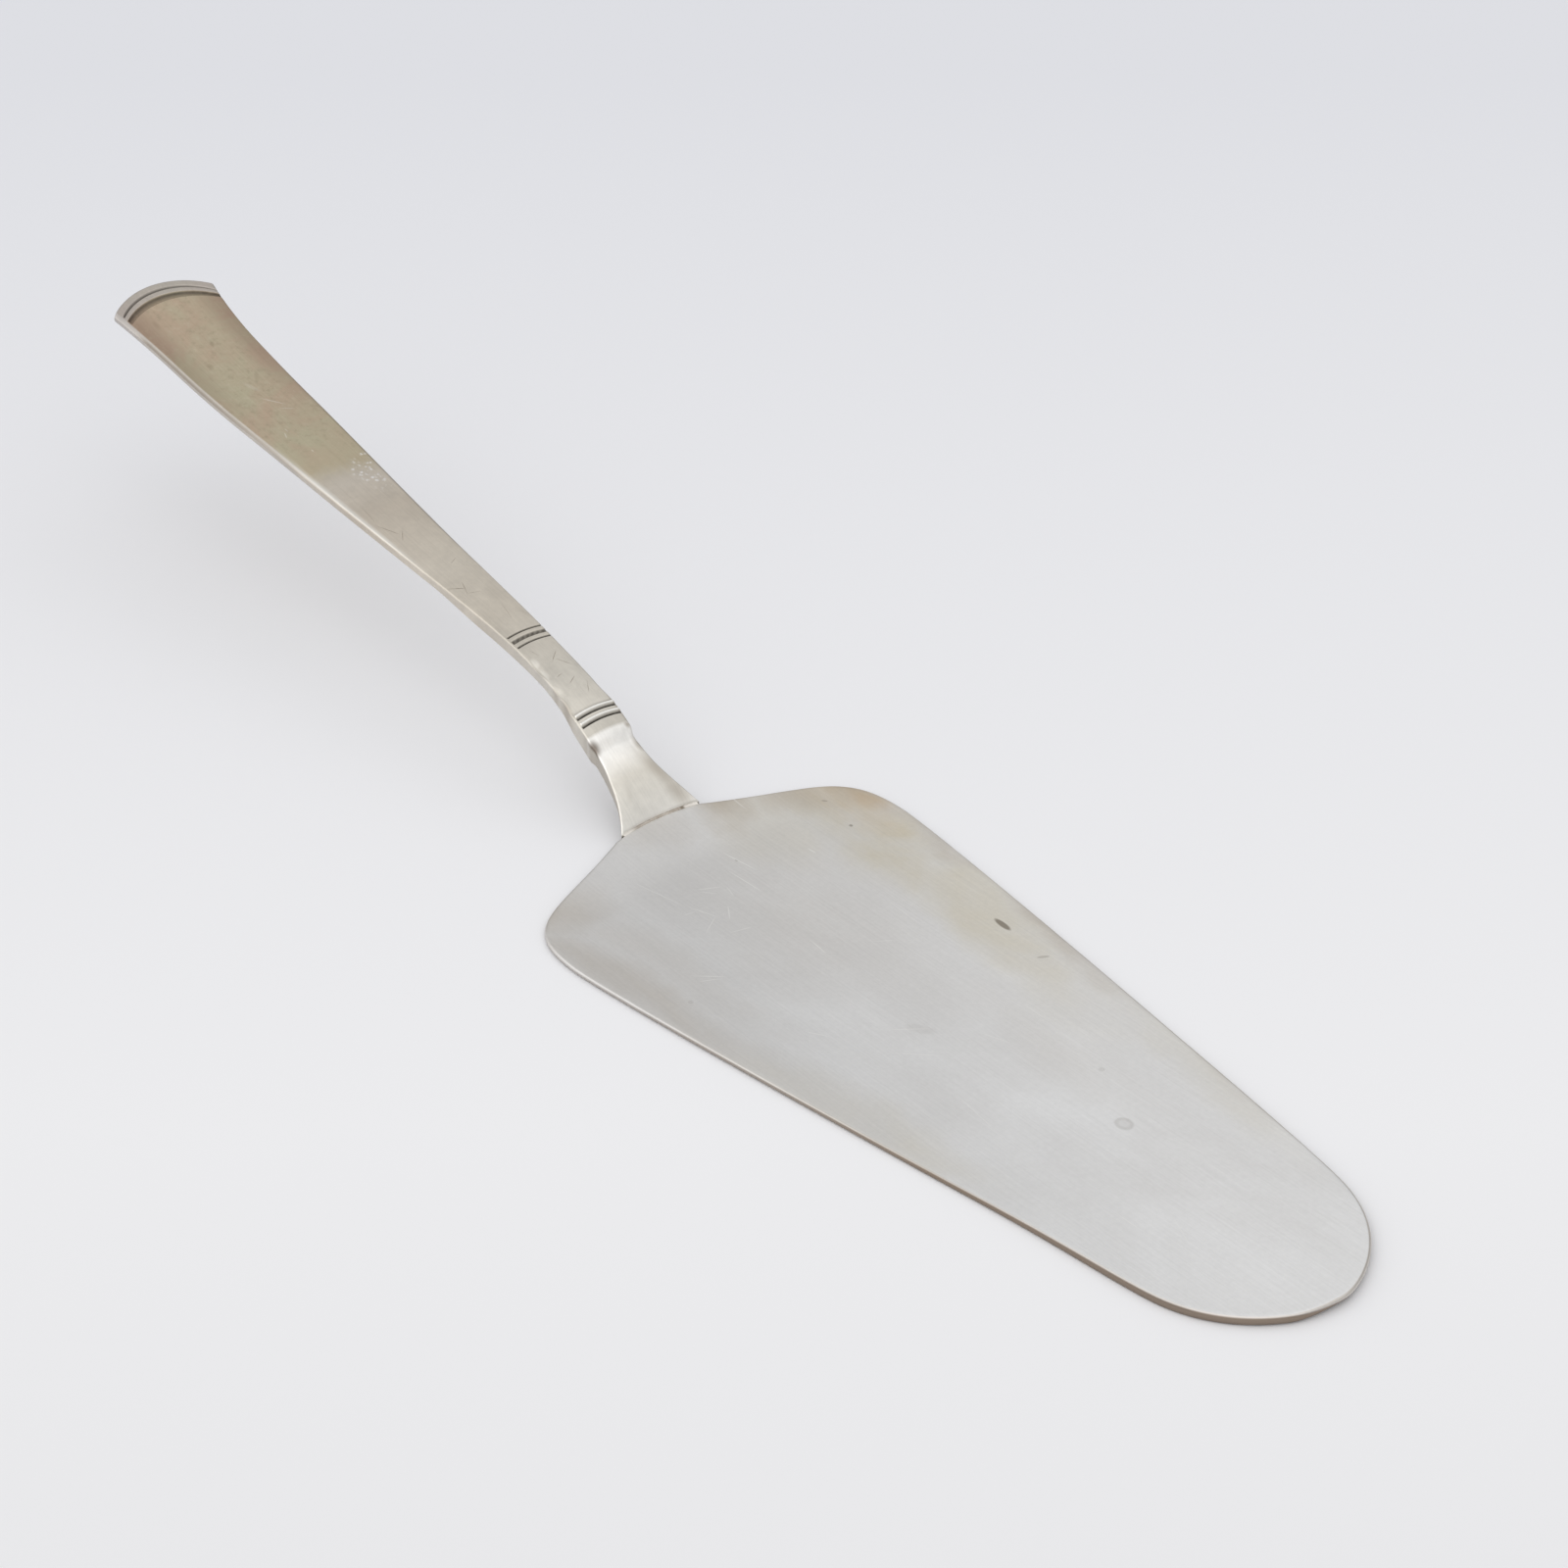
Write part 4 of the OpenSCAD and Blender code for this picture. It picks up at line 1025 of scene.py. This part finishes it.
# The dark drop near the right end: side distance and half length
DARK_DROP = (4.6, 0.45)
solder, tree, shader = new_material("silver_solder_tarnished", 1.0)
object_coords = add_node(tree, "TexCoord").outputs["Object"]
seam_side = add_node(tree, "SeparateXYZ", {0: object_coords}).outputs[1]
blotch = add_node(tree, "TexNoise", {
    "Vector": object_coords, "Scale": 1 / (BLOTCH_LEN * MM), "Detail": 4.0,
    "Roughness": 0.7})
patches = add_node(tree, "MapRange", {"Value": blotch, "From Min": 0.36, "From Max": 0.82})
colour = layered(tree, SOLDER_DARK, (patches, SOLDER_LIGHT))
browner = add_node(tree, "ValToRGB", {"Fac": add_node(tree, "MapRange", {
    "Value": seam_side, "From Min": -BROWN_END * MM, "From Max": BROWN_END * MM})})
set_stops(browner, [((at + BROWN_END) / (2 * BROWN_END), value) for at, value in BROWN_ALONG])
drop_off = add_node(tree, "Math", {0: seam_side, 1: DARK_DROP[0] * MM}, operation="SUBTRACT")
drop_off = add_node(tree, "Math", {0: drop_off}, operation="ABSOLUTE")
on_drop = add_node(tree, "MapRange", {
    "Value": drop_off, "From Min": DARK_DROP[1] * MM, "From Max": 0.0})
colour = layered(tree, SOLDER_ENDS_HIGHLIGHT, (browner, colour), (on_drop, STAIN_DARK))
rough = add_node(tree, "MapRange", {"Value": blotch, "To Min": 0.6, "To Max": 0.4})
bump = add_node(tree, "Bump", {"Height": blotch, "Strength": 0.3, "Distance": 0.08 * MM})
plug(tree, shader, {"Base Color": colour, "Roughness": rough, "Normal": bump})
seam.data.materials.append(solder)
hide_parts("solder_seam")
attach(seam, "root")

# Table, light and camera
# A pale matt table in a bright, even room, with broad soft panels of light around it. The
# camera stands where the photo was taken, with the focal length that fits its outlines.
TABLE_HALF = 3000
TABLE_BELOW = 0.02
corners = np.array([(-1, -1, 0), (1, -1, 0), (1, 1, 0), (-1, 1, 0)]) * TABLE_HALF
table = new_piece("table", corners, [(0, 1, 2, 3)])
table.location.z = -TABLE_BELOW * MM
paper, tree, shader = new_material("matt_white_paper", 0.0)
away = add_node(tree, "VectorMath", {
    0: add_node(tree, "TexCoord").outputs["Object"], 1: (-0.763, 0.647, 0)},
    operation="DOT_PRODUCT").outputs["Value"]
# Painted shade on the paper: darker nearest to and farthest from the camera, lightest between,
# where the light falls off
paper_falloff = add_node(tree, "ValToRGB", {"Fac": add_node(tree, "MapRange", {
    "Value": away, "From Min": -0.3, "From Max": 0.3})})
set_stops(paper_falloff, ((0, "#E3E3E5"), (0.45, "#F0F0F2"), (1, "#E2E3E8")))
plug(tree, shader, {"Base Color": paper_falloff, "Roughness": 0.9, "Specular IOR Level": 0.1})
table.data.materials.append(paper)

world = bpy.data.worlds.new("bright_room")
bpy.context.scene.world = world
world.use_nodes = True
tree = world.node_tree
look = add_node(tree, "TexCoord").outputs["Generated"]
up_down = add_node(tree, "SeparateXYZ", {0: look}).outputs[2]
# Grey by height, and black below the horizon
room = add_node(tree, "ValToRGB", {"Fac": up_down})
set_stops(room, ((0, 0), (0, 0.4), (0.5, 0.5), (0.6, 0.68), (0.7, 0.73), (0.85, 0.64),
                 (0.999, 0.76), (1, 1)))
# Broad soft panels: direction towards the panel, inner and outer half angle, brightness
PANELS = (((-0.64, -0.60, 0.48), 14, 46, 0.6),
          ((-0.42, 0.60, 0.72), 8, 30, 0.1),
          ((0.55, -0.55, 0.75), 16, 52, 0.75),
          ((0.80, 0.50, 0.35), 10, 42, 0.2),
          ((0.20, 0.50, 0.84), 6, 24, 0.3))
for towards, inner, outer, shade in PANELS:
    size = math.sqrt(sum(c * c for c in towards))
    facing = add_node(tree, "VectorMath", {0: look, 1: [c / size for c in towards]},
                      operation="DOT_PRODUCT").outputs["Value"]
    soft_edge = add_node(tree, "MapRange", {
        "Value": facing, "From Min": math.cos(math.radians(outer)),
        "From Max": math.cos(math.radians(inner))}, interpolation_type="SMOOTHSTEP")
    panel = add_node(tree, "VectorMath", {0: [shade] * 3, "Scale": soft_edge},
                     operation="SCALE")
    room = add_node(tree, "VectorMath", {0: room, 1: panel})
plug(tree, tree.nodes["Background"], {"Color": room, "Strength": 1.0})

FOCAL_PX = 3599
PHOTO_PX = 1600
SENSOR_W = 36.0
LOOKS_DOWN = 33.58
HEADING = 139.713
lens = bpy.data.cameras.new("camera")
lens.sensor_fit = "HORIZONTAL"
lens.sensor_width = SENSOR_W
lens.lens = FOCAL_PX / PHOTO_PX * SENSOR_W
lens.clip_start = 0.01
lens.clip_end = 20.0
camera = bpy.data.objects.new("camera", lens)
camera.location = (0.27067, -0.24349, 0.27121)
camera.rotation_euler = (math.radians(90 - LOOKS_DOWN), 0, math.radians(HEADING - 90))
bpy.context.scene.collection.objects.link(camera)
bpy.context.scene.camera = camera
bpy.context.scene.view_settings.view_transform = "Standard"
